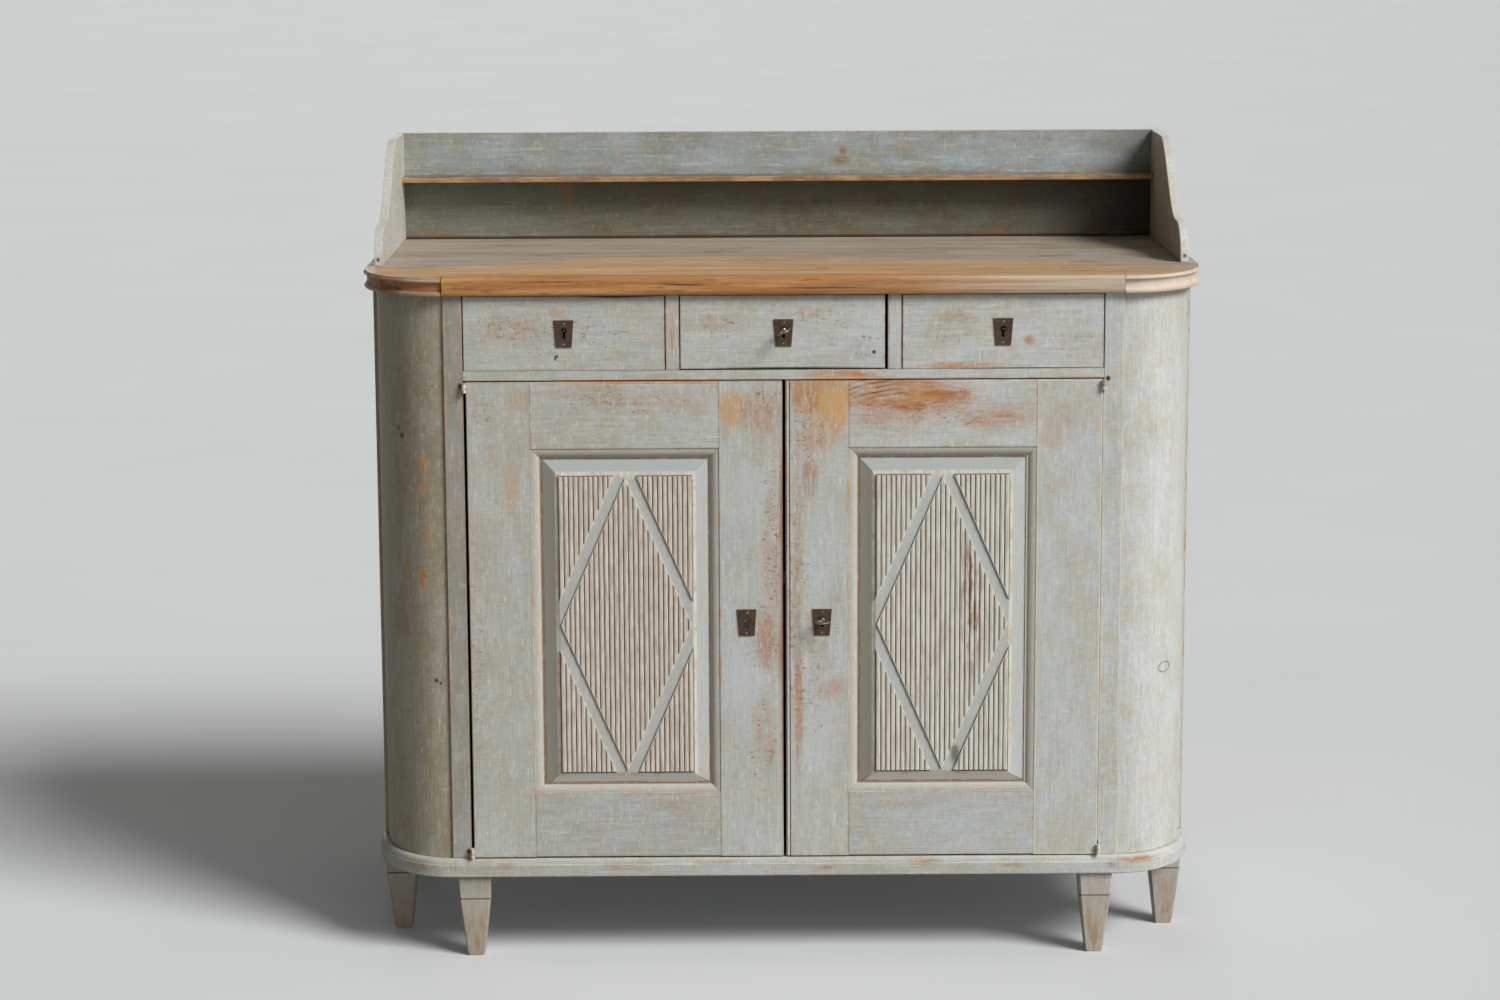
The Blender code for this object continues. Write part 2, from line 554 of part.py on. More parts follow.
# Drawers: a front with lapped ends, a box behind it, a plate and a lock.
drawer_low = DECK_TOP + GAP
drawer_high = TOP_UNDER - DRAWER_PLAY
outer_half = (STILE_IN - CENTRE_OPENING / 2 - DIVIDER_WIDTH) / 2 - DRAWER_PLAY
half_play = (DRAWER_PLAY + CENTRE_DRAWER_PLAY) / 2
centre_shift = (DRAWER_PLAY - CENTRE_DRAWER_PLAY) / 2
drawers = {
    "left": (-OUTER_DRAWER_X, outer_half, -OUTER_DRAWER_X),
    "centre": (centre_shift, CENTRE_OPENING / 2 - half_play, 0.0),
    "right": (OUTER_DRAWER_X, outer_half, OUTER_DRAWER_X),
}
for label, (x, half, lock_x) in drawers.items():
    pivot = at(x, 0.0, drawer_low)
    cheek = half - DRAWER_WALL - GAP
    low = drawer_low + (CENTRE_DRAWER_LIFT if label == "centre" else 0.0)
    outline = [(half, 0.0), (half, DRAWER_LAP), (cheek, DRAWER_LAP), (cheek, DRAWER_FRONT)]
    outline += [(-u, d) for u, d in outline[::-1]]
    points = [at(x + u, d, low) for u, d in outline]
    front = prism(points, (0.0, 0.0, drawer_high - low))
    front = piece(front, "drawer_front_" + label, "paint", pivot)

    rear = DRAWER_LAP + DRAWER_BOX_DEPTH
    start = DRAWER_LAP + GAP
    inner = half - DRAWER_WALL
    edge = half - DRAWER_BOX_INSET
    outline = [(edge, start), (edge, rear), (-edge, rear), (-edge, start)]
    outline += [(-inner, start), (-inner, rear - DRAWER_WALL), (inner, rear - DRAWER_WALL)]
    outline += [(inner, start)]
    points = [at(x + u, d, drawer_low) for u, d in outline]
    walls = prism(points, (0.0, 0.0, drawer_high - DRAWER_BOX_DROP - drawer_low))
    box = piece(walls, "drawer_box_" + label, "pine", pivot)
    wide = inner + FLOOR_TONGUE
    deep = rear - DRAWER_WALL + FLOOR_TONGUE
    under = drawer_low + FLOOR_RISE
    floor = block(x - wide, x + wide, start + GAP, deep, under, under + DRAWER_FLOOR)
    far = wide + OVERCUT
    lap = block(x - far, x + far, -OVERCUT, DRAWER_FRONT + GAP, drawer_low - OVERCUT, drawer_high)
    floor = piece(floor, "add_floor_" + label, None)
    combine(floor, piece(lap, "cut_floor_" + label, None), "DIFFERENCE")
    combine(box, floor, "UNION")

    hole = keyhole("cut_keyhole_" + label, lock_x, DRAWER_KEY_Z, -OVERCUT, DRAWER_FRONT + SINK)
    plate = key_plate("key_plate_drawer_" + label, lock_x, 0.0, DRAWER_PLATE_Z, pivot)
    combine(front, hole, "DIFFERENCE")
    combine(plate, hole, "DIFFERENCE")

    near, far = DRAWER_FRONT + GAP, DRAWER_FRONT + GAP + LOCK_DEPTH
    sides = LOCK_WIDTH / 2
    foot, head = DRAWER_KEY_Z - LOCK_BELOW_KEY, TOP_UNDER - LOCK_DROP
    case = block(lock_x - sides, lock_x + sides, near, far, foot, head)
    case = piece(case, "lock_drawer_" + label, "iron", pivot)
    combine(case, hole, "DIFFERENCE")
    room = bit_room("cut_room_" + label, lock_x, DRAWER_KEY_Z, near)
    combine(case, room, "DIFFERENCE")
    if label != "centre":
        post = [at(lock_x + u, LOCK_PIN_START, DRAWER_KEY_Z + v) for u, v in circle(LOCK_PIN, 8)]
        post = prism(post, (0.0, far - LOCK_FLOOR / 2 - LOCK_PIN_START, 0.0))
        combine(case, piece(post, "add_post_" + label, None), "UNION")
    else:
        # The bolt slides up out of its channel into the slot in the top.
        wide = BOLT_WIDTH / 2
        front_d, back_d = near + BOLT_FRONT, near + BOLT_BACK
        channel = block(lock_x - wide - GAP, lock_x + wide + GAP, front_d - GAP, back_d + GAP,
                        DRAWER_KEY_Z + SHANK, head + OVERCUT)
        combine(case, piece(channel, "cut_channel_drawer", None), "DIFFERENCE")
        foot = DRAWER_KEY_Z + BIT_ROOM + 2 * GAP
        bolt = block(lock_x - wide, lock_x + wide, front_d, back_d, foot, TOP_UNDER - BOLT_SHORT)
        piece(bolt, "bolt_drawer", "steel", at(lock_x, front_d, foot))
        key("key_drawer", lock_x, DRAWER_KEY_Z, near, radians(DRAWER_KEY_TILT))


def door_member(along, edge, turn, width, low, high, open_low, open_high, bead=False):
    """A stile or rail whose inner edge carries the mitred moulding and groove."""
    def put(u, depth, a):
        if along == "Z":
            return at(edge + turn * u, depth - DOOR_PROUD, a)
        return at(a, depth - DOOR_PROUD, edge + turn * u)

    shares = [(0.0, 0.0), (0.055, 0.19), (0.26, 0.17), (0.54, 0.32), (0.73, 0.59), (0.83, 0.86)]
    shares += [(1.0, 0.86), (1.0, 1.0)]
    mould = [(u * STICKING, d * LIP) for u, d in shares]
    bottom = STICKING - GROOVE_DEPTH
    mould += [(bottom, LIP), (bottom, LIP + GROOVE), (STICKING, LIP + GROOVE)]
    mould += [(STICKING, DOOR_THICK), (0.0, DOOR_THICK)]
    rim = [(0.0, DOOR_THICK), (0.0, ARRIS), (0.3 * ARRIS, 0.3 * ARRIS), (ARRIS, 0.0)]
    if bead:
        round_r = BEAD / 2
        rim = [(0.0, DOOR_THICK)]
        for k in range(6):
            t = pi * k / 5
            rim.append((round_r - round_r * cos(t), round_r - round_r * sin(t)))
        rim += [(BEAD + BEAD_QUIRK / 2, round_r), (BEAD + BEAD_QUIRK, 0.0)]
    bm = bmesh.new()

    def face(points):
        clean = []
        for p in points:
            if not clean or max(abs(a - b) for a, b in zip(p, clean[-1])) > 0.0000005:
                clean.append(p)
        bm.faces.new([bm.verts.new(p) for p in clean])

    stops = [low, open_low, open_high, high]
    for (u0, d0), (u1, d1) in zip(rim, rim[1:]):
        face([put(u0, d0, low), put(u1, d1, low), put(u1, d1, high), put(u0, d0, high)])
    for start, depth in ((rim[-1][0], 0.0), (0.0, DOOR_THICK)):
        face([put(start, depth, low)] + [put(width, depth, a) for a in stops] + [put(start, depth, high)])
    for a in (low, high):
        face([put(u, d, a) for u, d in rim + [(width, 0.0), (width, DOOR_THICK)]])
    for a0, a1 in ((low, open_low), (open_high, high)):
        if a1 - a0 > 0.00001:
            face([put(width, 0.0, a0), put(width, 0.0, a1), put(width, DOOR_THICK, a1),
                  put(width, DOOR_THICK, a0)])
    for (u0, d0), (u1, d1) in zip(mould, mould[1:]):
        face([put(width + u0, d0, open_low + u0), put(width + u1, d1, open_low + u1),
              put(width + u1, d1, open_high - u1), put(width + u0, d0, open_high - u0)])
    face([put(width + u, d, open_low + u) for u, d in mould])
    face([put(width + u, d, open_high - u) for u, d in mould])
    return bm


def door_panel(name, x0, x1, pivot):
    """The fielded panel: bevelled margin, reeds cut in the field, lozenge band."""
    def ring(inset, depth, low_inset=None):
        left, right = x0 + inset, x1 - inset
        low, high = OPEN_LOW + (inset if low_inset is None else low_inset), OPEN_HIGH - inset
        depth -= DOOR_PROUD
        return [at(left, depth, low), at(right, depth, low), at(right, depth, high), at(left, depth, high)]

    tongue = STICKING - GROOVE_DEPTH + PANEL_PLAY
    behind = LIP + GROOVE - GAP
    crown = -FIELD_PROUD
    bed = crown + REED_DEPTH
    rings = [ring(tongue, behind), ring(tongue, LIP + GAP), ring(STICKING + PANEL_PLAY, LIP + GAP)]
    for step, depth in ((-FIELD_CHAMFER, bed + FIELD_CHAMFER_RISE), (0.0, bed), (REED_DEPTH, crown)):
        rings.append(ring(FIELD_INSET + step, depth, FIELD_LOW_INSET + step))
    made = piece(loft(rings), name, "paint", pivot)

    # Reeds: one cutter whose underside is a row of rounded ribs.
    left, right = x0 + FIELD_INSET, x1 - FIELD_INSET
    low, high = OPEN_LOW + FIELD_LOW_INSET, OPEN_HIGH - FIELD_INSET
    pitch = (right - left) / REED_COUNT
    valley = bed - GAP / 2
    outline = [(left - GAP, crown - SINK), (left - GAP, valley), (left, valley)]
    for k in range(REED_COUNT):
        start = left + k * pitch
        for share, rise in ((0.16, 0.70), (0.5, 1.0), (0.84, 0.70)):
            outline.append((start + share * pitch, valley - rise * (REED_DEPTH - GAP)))
        outline.append((start + pitch, valley))
    outline += [(right + GAP, valley), (right + GAP, crown - SINK)]
    points = [at(x, d - DOOR_PROUD, low - GAP) for x, d in outline]
    reeds = piece(prism(points, (0.0, 0.0, high - low + 2 * GAP)), "cut_reeds_" + name, None)
    combine(made, reeds, "DIFFERENCE")

    # Lozenge band: a flat ring between two rhombs, cut to the reeded field.
    mid_x, mid_z = (left + right) / 2, (low + high) / 2
    half_x, half_z = (right - left) / 2 + 2 * GAP, (high - low) / 2 + 2 * GAP
    tip_x, tip_z = half_x - BAND_TIP / 2, half_z - BAND_TIP
    grow = BAND_WIDTH * sqrt(tip_x ** 2 + tip_z ** 2) / (tip_x * tip_z)
    wide_x, wide_z = tip_x * (1 + grow), tip_z * (1 + grow)
    cut_x = wide_x * (1 - half_z / wide_z)
    cut_z = wide_z * (1 - half_x / wide_x)
    band = bmesh.new()
    floor = valley + GAP / 3
    for sx in (-1, 1):
        for sz in (-1, 1):
            shape = [(0.0, tip_z), (0.0, half_z), (cut_x, half_z), (half_x, cut_z)]
            shape += [(half_x, 0.0), (tip_x, 0.0)]
            points = [at(mid_x + sx * u, crown - DOOR_PROUD - SINK, mid_z + sz * v) for u, v in shape]
            band.faces.new([band.verts.new(p) for p in points])
    bmesh.ops.remove_doubles(band, verts=band.verts, dist=0.00001)
    bmesh.ops.recalc_face_normals(band, faces=band.faces)
    extruded = bmesh.ops.extrude_face_region(band, geom=band.faces[:])["geom"]
    moved = [g for g in extruded if isinstance(g, bmesh.types.BMVert)]
    bmesh.ops.translate(band, vec=(0.0, floor - crown + SINK, 0.0), verts=moved)
    combine(made, piece(band, "cut_band_" + name, None), "DIFFERENCE")


# Doors: two stiles, two rails with tenons, and the reeded panel.
for label, side in (("left", -1), ("right", 1)):
    pivot = at(side * HINGE_X[side], PIN_DEPTH, DOOR_LOW)
    hinge_stile = piece(
        door_member("Z", side * DOOR_OUT[side], -side, DOOR_OUT[side] - OPEN_OUT, DOOR_LOW, DOOR_HIGH,
                    OPEN_LOW, OPEN_HIGH),
        "door_hinge_stile_" + label, "paint", pivot)
    lock_stile = piece(
        door_member("Z", side * DOOR_IN, side, DOOR_STILE, DOOR_LOW, DOOR_HIGH, OPEN_LOW, OPEN_HIGH,
                    label == "right"),
        "door_lock_stile_" + label, "paint", pivot)
    x0, x1 = sorted((side * OPEN_IN, side * OPEN_OUT))
    ends = (x0 + GAP, x1 - GAP)
    rails = {
        "top": (DOOR_HIGH, -1, TOP_RAIL, OPEN_HIGH, DOOR_HIGH),
        "bottom": (DOOR_LOW, 1, BOTTOM_RAIL, DOOR_LOW, OPEN_LOW),
    }
    for place, (edge, turn, width, z0, z1) in rails.items():
        rail = piece(
            door_member("X", edge, turn, width, ends[0], ends[1], ends[0], ends[1]),
            "door_" + place + "_rail_" + label, "paint", pivot)
        cheek = DOOR_THICK / 3 - DOOR_PROUD
        behind = 2 * DOOR_THICK / 3 - DOOR_PROUD
        foot, head = z0 + TENON_SHOULDER, z1 - TENON_SHOULDER
        for end, stile_side in ((ends[0], -1), (ends[1], 1)):
            first, last = sorted((end - stile_side * SINK, end + stile_side * RAIL_TENON))
            tenon = block(first, last, cheek, behind, foot, head)
            tenon = piece(tenon, "add_tenon_" + label + place + str(stile_side), None)
            combine(rail, tenon, "UNION")
            room = RAIL_TENON + TENON_PLAY
            first, last = sorted((end - stile_side * SINK, end + stile_side * room))
            mortise = block(first, last, cheek - GAP, behind + GAP, foot - GAP, head + GAP)
            mortise = piece(mortise, "cut_mortise_" + label + place + str(stile_side), None)
            near_hinge = stile_side == side
            combine(hinge_stile if near_hinge else lock_stile, mortise, "DIFFERENCE")
    door_panel("door_panel_" + label, x0, x1, pivot)

    # Pin hinges: a knuckle and pin on the frame, a bored knuckle on the door.
    axis_x = HINGE_X[side]
    for place in ("top", "bottom"):
        up = 1 if place == "top" else -1
        meet = DOOR_HIGH - HINGE_INSET if place == "top" else DOOR_LOW + HINGE_INSET

        def knuckle(outward, near, far, z0, z1):
            """A round eye with a flat tail that runs back into the gap."""
            shape = []
            for t in [pi * k / 12 for k in range(25)]:
                u, v = KNUCKLE * cos(t), KNUCKLE * sin(t)
                if v < KNUCKLE * 0.55 or u < near - 0.0004 or u > far + 0.0004:
                    shape.append((u, v))
            tail = HINGE_TAIL
            start = [p for p in shape if p[1] >= 0 and p[0] > far]
            rest = [p for p in shape if p not in start]
            low = sqrt(KNUCKLE ** 2 - far ** 2)
            high = sqrt(KNUCKLE ** 2 - near ** 2)
            loop = start + [(far, low), (far, tail), (near, tail), (near, high)] + rest
            points = [at(side * (axis_x + outward * u), v + PIN_DEPTH, z0) for u, v in loop]
            unique = []
            for p in points:
                if all(max(abs(a - b) for a, b in zip(p, q)) > 0.00001 for q in unique):
                    unique.append(p)
            return prism(unique, (0.0, 0.0, z1 - z0))

        first, last = sorted((meet + up * GAP / 2, meet + up * KNUCKLE_HEIGHT))
        room = STILE_IN - axis_x
        eye = knuckle(1, room - GAP - HINGE_PLATE, room - GAP, first, last)
        frame_half = piece(eye, "hinge_frame_" + place + "_" + label, "iron")
        first, last = sorted((meet - up * (KNUCKLE_HEIGHT - GAP), meet + up * SINK))
        rod = [at(side * axis_x + u, v + PIN_DEPTH, first) for u, v in circle(PIN, 10)]
        rod = piece(prism(rod, (0.0, 0.0, last - first)), "add_pin_" + place + label, None)
        combine(frame_half, rod, "UNION")

        first, last = sorted((meet - up * GAP / 2, meet - up * KNUCKLE_HEIGHT))
        room = axis_x - DOOR_OUT[side]
        eye = knuckle(-1, room - GAP - HINGE_PLATE, room - GAP, first, last)
        door_half = piece(eye, "hinge_door_" + place + "_" + label, "iron", pivot)
        bore = [at(side * axis_x + u, v + PIN_DEPTH, first - SINK) for u, v in circle(PIN + GAP, 10)]
        bore = piece(prism(bore, (0.0, 0.0, last - first + 2 * SINK)), "cut_bore_" + place + label, None)
        combine(door_half, bore, "DIFFERENCE")

    x = side * DOOR_PLATE_X
    plate = key_plate("key_plate_door_" + label, x, -DOOR_PROUD, DOOR_PLATE_Z, pivot)
    deep = DOOR_BEHIND + SINK if label == "right" else DOOR_THICK / 3 - DOOR_PROUD
    hole = keyhole("cut_keyhole_door_" + label, x, DOOR_KEY_Z, -OVERCUT, deep)
    combine(plate, hole, "DIFFERENCE")
    combine(lock_stile, hole, "DIFFERENCE")

# Lock of the right door: the bolt slides behind the left door.
pivot = at(HINGE_X[1], PIN_DEPTH, DOOR_LOW)
near, far = DOOR_BEHIND + GAP, DOOR_BEHIND + GAP + LOCK_DEPTH
first = DOOR_IN + DOOR_LOCK_INSET
last = DOOR_PLATE_X + LOCK_BELOW_KEY
case = block(first, last, near, far, DOOR_KEY_Z - DOOR_LOCK_HALF, DOOR_KEY_Z + DOOR_LOCK_HALF)
case = piece(case, "lock_door", "iron", pivot)
combine(case, bpy.data.objects["cut_keyhole_door_right"], "DIFFERENCE")
combine(case, bit_room("cut_room_door", DOOR_PLATE_X, DOOR_KEY_Z, near), "DIFFERENCE")
front_d, back_d = near + BOLT_FRONT - BOLT_PLAY, near + BOLT_BACK - BOLT_PLAY
wide = BOLT_WIDTH / 2
channel = block(first - OVERCUT, DOOR_PLATE_X - SHANK, front_d - GAP, back_d + GAP,
                DOOR_KEY_Z - wide - GAP, DOOR_KEY_Z + wide + GAP)
combine(case, piece(channel, "cut_channel_door", None), "DIFFERENCE")
bolt_end = DOOR_PLATE_X - BIT_ROOM - 2 * GAP
bolt = block(first + BOLT_SHORT, bolt_end, front_d, back_d, DOOR_KEY_Z - wide, DOOR_KEY_Z + wide)
piece(bolt, "bolt_door", "steel", at(bolt_end, front_d, DOOR_KEY_Z))
key("key_door", DOOR_PLATE_X, DOOR_KEY_Z, near, 0.0)
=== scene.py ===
# %% [markdown]
# This lesson dresses an old painted pine buffet: a low cupboard with two panelled doors,
# three drawers, rounded corners, tapered legs and a little gallery on top. The measured
# solids come in first and stay where they are. Every piece we make is set against them.

# %% Load the measured frame
import json
from math import hypot, radians

import bpy
import numpy as np
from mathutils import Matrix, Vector


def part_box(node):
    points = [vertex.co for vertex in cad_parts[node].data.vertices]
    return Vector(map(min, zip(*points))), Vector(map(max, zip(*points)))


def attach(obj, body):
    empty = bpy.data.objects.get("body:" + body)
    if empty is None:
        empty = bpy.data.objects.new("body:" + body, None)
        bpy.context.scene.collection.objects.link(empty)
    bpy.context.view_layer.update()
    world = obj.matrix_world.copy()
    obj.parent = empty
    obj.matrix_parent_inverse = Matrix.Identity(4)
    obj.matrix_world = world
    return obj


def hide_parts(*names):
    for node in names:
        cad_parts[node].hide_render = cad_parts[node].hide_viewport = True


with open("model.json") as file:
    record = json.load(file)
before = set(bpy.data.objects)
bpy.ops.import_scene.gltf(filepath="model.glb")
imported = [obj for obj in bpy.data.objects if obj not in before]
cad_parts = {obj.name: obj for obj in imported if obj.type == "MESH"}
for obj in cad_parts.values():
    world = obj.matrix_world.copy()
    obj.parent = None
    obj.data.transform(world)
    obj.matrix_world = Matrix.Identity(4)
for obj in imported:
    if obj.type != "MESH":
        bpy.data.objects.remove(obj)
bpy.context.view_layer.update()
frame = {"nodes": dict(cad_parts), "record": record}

# %% [markdown]
# The camera stands a little left of the middle, above the worktop, and looks down by ten
# degrees. Its place was solved from the corners of the cupboard, so it is typed in as numbers.

# %% Set up the camera
LENS, EYE = 83.89, (-0.0739, -5.1163, 1.5508)
TILT, ROLL, SWING = 79.7516, 0.2638, -0.3517
view = bpy.data.cameras.new("front_view")
view.sensor_width = 36.0
view.lens = LENS
camera = bpy.data.objects.new("front_view", view)
camera.location = EYE
camera.rotation_euler = [radians(angle) for angle in (TILT, ROLL, SWING)]
bpy.context.scene.collection.objects.link(camera)
bpy.context.scene.camera = camera
bpy.context.scene.view_settings.view_transform = "Standard"
print("camera looks down by", round(90.0 - TILT, 2), "degrees")

# %% [markdown]
# The cupboard is lit as by a tall window on the right: one broad soft lamp from the front
# right, half way up, draws the mouldings, and a very wide one lower down fills the doors. A
# weak low lamp from behind and a dim surround keep the back and the shaded side readable.
# Lamps of the sun kind light every view alike.

# %% Hang the lamps
DIM = (0.145, 0.140, 0.130, 1.0)


def hang_lamp(name, towards, strength, spread, colour):
    """A lamp of the sun kind whose light comes from the direction given."""
    lamp = bpy.data.lights.new(name, "SUN")
    lamp.energy = strength
    lamp.angle = radians(spread)
    lamp.color = colour
    holder = bpy.data.objects.new(name, lamp)
    holder.rotation_euler = Vector(towards).to_track_quat("Z", "Y").to_euler()
    bpy.context.scene.collection.objects.link(holder)
    print(name, "strength", strength)


hang_lamp("window_light", (0.600, -0.480, 0.640), 3.30, 24.0, (1.0, 0.985, 0.96))
hang_lamp("front_fill", (0.637, -0.759, 0.139), 0.80, 80.0, (0.96, 0.98, 1.0))
hang_lamp("back_fill", (-0.08, 0.99, 0.10), 0.70, 24.0, (0.95, 0.97, 1.0))
surround = bpy.data.worlds.new("surround")
surround.use_nodes = True
surround.node_tree.nodes["Background"].inputs["Color"].default_value = DIM
bpy.context.scene.world = surround

# %% [markdown]
# A small set of bench helpers keeps the steps short. An operator acts on all that is
# selected, so a helper first lets go of everything and then takes up only the piece in hand.
# Inside a piece, points, edges or faces are picked by a rule on their place or normal.

# %% Lay out the bench helpers
def let_go():
    """Puts everything down, so that a new primitive comes up by itself."""
    if bpy.context.mode != "OBJECT":
        bpy.ops.object.mode_set(mode="OBJECT")
    bpy.ops.object.select_all(action="DESELECT")


def alone(*pieces):
    """Takes up these pieces and nothing else, the first one active."""
    let_go()
    for piece in pieces:
        piece.select_set(True)
    bpy.context.view_layer.objects.active = pieces[0]


def edit_all(piece):
    """Opens a piece with all of it selected."""
    alone(piece)
    bpy.ops.object.mode_set(mode="EDIT")
    bpy.ops.mesh.select_mode(type="VERT")
    bpy.ops.mesh.select_all(action="SELECT")


def edit_where(piece, kind, rule):
    """Opens a piece with only the points, edges or faces that a rule picks."""
    edit_all(piece)
    bpy.ops.mesh.select_mode(type=kind)
    bpy.ops.mesh.select_all(action="DESELECT")
    bpy.ops.object.mode_set(mode="OBJECT")
    mesh = piece.data
    for part in {"VERT": mesh.vertices, "EDGE": mesh.edges, "FACE": mesh.polygons}[kind]:
        part.select = bool(rule(part))
    bpy.ops.object.mode_set(mode="EDIT")


def close_edit():
    """Closes the piece again."""
    bpy.ops.object.mode_set(mode="OBJECT")


print("bench ready")

# %% [markdown]
# Four more helpers finish a piece. One applies its place and modifiers, so that its place is
# in its mesh. One shades it smooth but keeps its large faces flat. One brings a cube to two
# corners, the start of many pieces, and one cuts a piece with another by a Boolean modifier.

# %% Lay out the finishing helpers
def apply_all(piece):
    """Applies a piece's place, turn and every modifier to its mesh."""
    alone(piece)
    bpy.ops.object.transform_apply(location=True, rotation=True, scale=True)
    for modifier in list(piece.modifiers):
        bpy.ops.object.modifier_apply(modifier=modifier.name)


def smooth(piece, angle=32.0):
    """Smooth shading over the small arrises, while the large faces stay flat."""
    alone(piece)
    bpy.ops.object.shade_smooth_by_angle(angle=radians(angle))
    even = piece.modifiers.new("flat_faces", "WEIGHTED_NORMAL")
    even.keep_sharp = True
    bpy.ops.object.modifier_apply(modifier=even.name)


def block(name, low, high):
    """A cube brought to two corners, its place in its mesh."""
    let_go()
    middle = [(a + b) / 2 for a, b in zip(low, high)]
    bpy.ops.mesh.primitive_cube_add(size=1.0, location=middle)
    piece = bpy.context.object
    piece.name = piece.data.name = name
    piece.scale = [b - a for a, b in zip(low, high)]
    apply_all(piece)
    return piece


def carve(piece, tool, way):
    """Takes a tool's shape out of a piece, or keeps only what lies in it. The tool is used up."""
    cut = piece.modifiers.new("carved", "BOOLEAN")
    cut.operation, cut.solver, cut.object = way, "EXACT", tool
    apply_all(piece)
    bpy.data.objects.remove(tool, do_unlink=True)


print("finishing helpers ready")

# %% [markdown]
# The boards' own shapes are already right, so each one starts as a copy of its solid. The
# solid is loose triangles: its doubles are merged and its flat faces joined again. Then the
# sharp arrises are softened with a Bevel modifier, as years of dusting have done.

# %% Make worn boards from the solids
bodies = frame["record"]["behaviour"]["bodies"]
body_of_node = {node: body for body, nodes in bodies.items() for node in nodes}
slot_of_node = {row["node"]: row["material_slot"] for row in frame["record"]["subparts"]}


def merged_copy(node, name):
    """A copy of a solid with whole faces instead of loose triangles."""
    mesh = frame["nodes"][node].data.copy()
    mesh.materials.clear()
    piece = bpy.data.objects.new(name, mesh)
    mesh.name = name
    bpy.context.scene.collection.objects.link(piece)
    alone(piece)
    bpy.ops.mesh.customdata_custom_splitnormals_clear()
    edit_all(piece)
    bpy.ops.mesh.remove_doubles(threshold=0.00001)
    bpy.ops.mesh.dissolve_limited(angle_limit=radians(0.4))
    close_edit()
    return piece


def soften(piece, width, segments=2, angle=30.0):
    """Takes the sharpness off every arris steeper than the angle."""
    worn = piece.modifiers.new("worn_arris", "BEVEL")
    worn.width = width
    worn.segments = segments
    worn.limit_method = "ANGLE"
    worn.angle_limit = radians(angle)
    apply_all(piece)


def stand_for(piece, node):
    """The piece takes its solid's place and moves with it."""
    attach(piece, body_of_node[node])
    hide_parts(node)


print(len(body_of_node), "solids to dress")

# %% [markdown]
# Paint goes first along the edges of a board. A material can't see where a board ends, so
# every point stores how far it lies from the board's sides. It also stores a shift of its
# board's own, because no two boards of a real cabinet are cut from the same length of tree.

# %% Mark the edges and dress a board
boards_marked = 0


def mark_edges(piece, low=None, high=None, points=None):
    """Stores how far each point lies from the board's sides, for wear along the edges."""
    global boards_marked
    boards_marked += 1
    mesh = piece.data
    if points is None:
        points = np.empty(len(mesh.vertices) * 3)
        mesh.vertices.foreach_get("co", points)
        points = points.reshape(-1, 3)
    low = points.min(axis=0) if low is None else np.array(low)
    high = points.max(axis=0) if high is None else np.array(high)
    shift = np.array([0.37, 0.73, 0.59]) * boards_marked
    rows = {"gap_low": points - low, "gap_high": high - points, "board": points * 0.0 + shift}
    for name, values in rows.items():
        row = mesh.attributes.new(name, "FLOAT_VECTOR", "POINT")
        row.data.foreach_set("vector", values.astype(np.float32).ravel())


def dress(node, prefix, finish, arris, shape=None):
    """A softened copy of a solid, with its edges marked, finished and set in the solid's place."""
    piece = merged_copy(node, prefix + node)
    if shape is not None:
        shape(piece)
    soften(piece, arris)
    smooth(piece)
    mark_edges(piece)
    piece.data.materials.append(finish)
    stand_for(piece, node)
    print(piece.name, len(piece.data.polygons), "faces")


print("edge marks ready")

# %% [markdown]
# A finish is a small recipe of nodes. Writing them out one by one hides the idea, so this
# class gives each step a short name: noise of a size in metres, a fade between two values,
# a blend of two colours, a mark at a place. Colours are written as they look on screen.

# %% Write the finish recipe book
def shade(red, green, blue):
    """A colour as seen on screen, from 0 to 255, turned into the light it stands for."""
    light = []
    for c in (red, green, blue):
        c /= 255.0
        light.append(c / 12.92 if c <= 0.04045 else ((c + 0.055) / 1.055) ** 2.4)
    return (*light, 1.0)


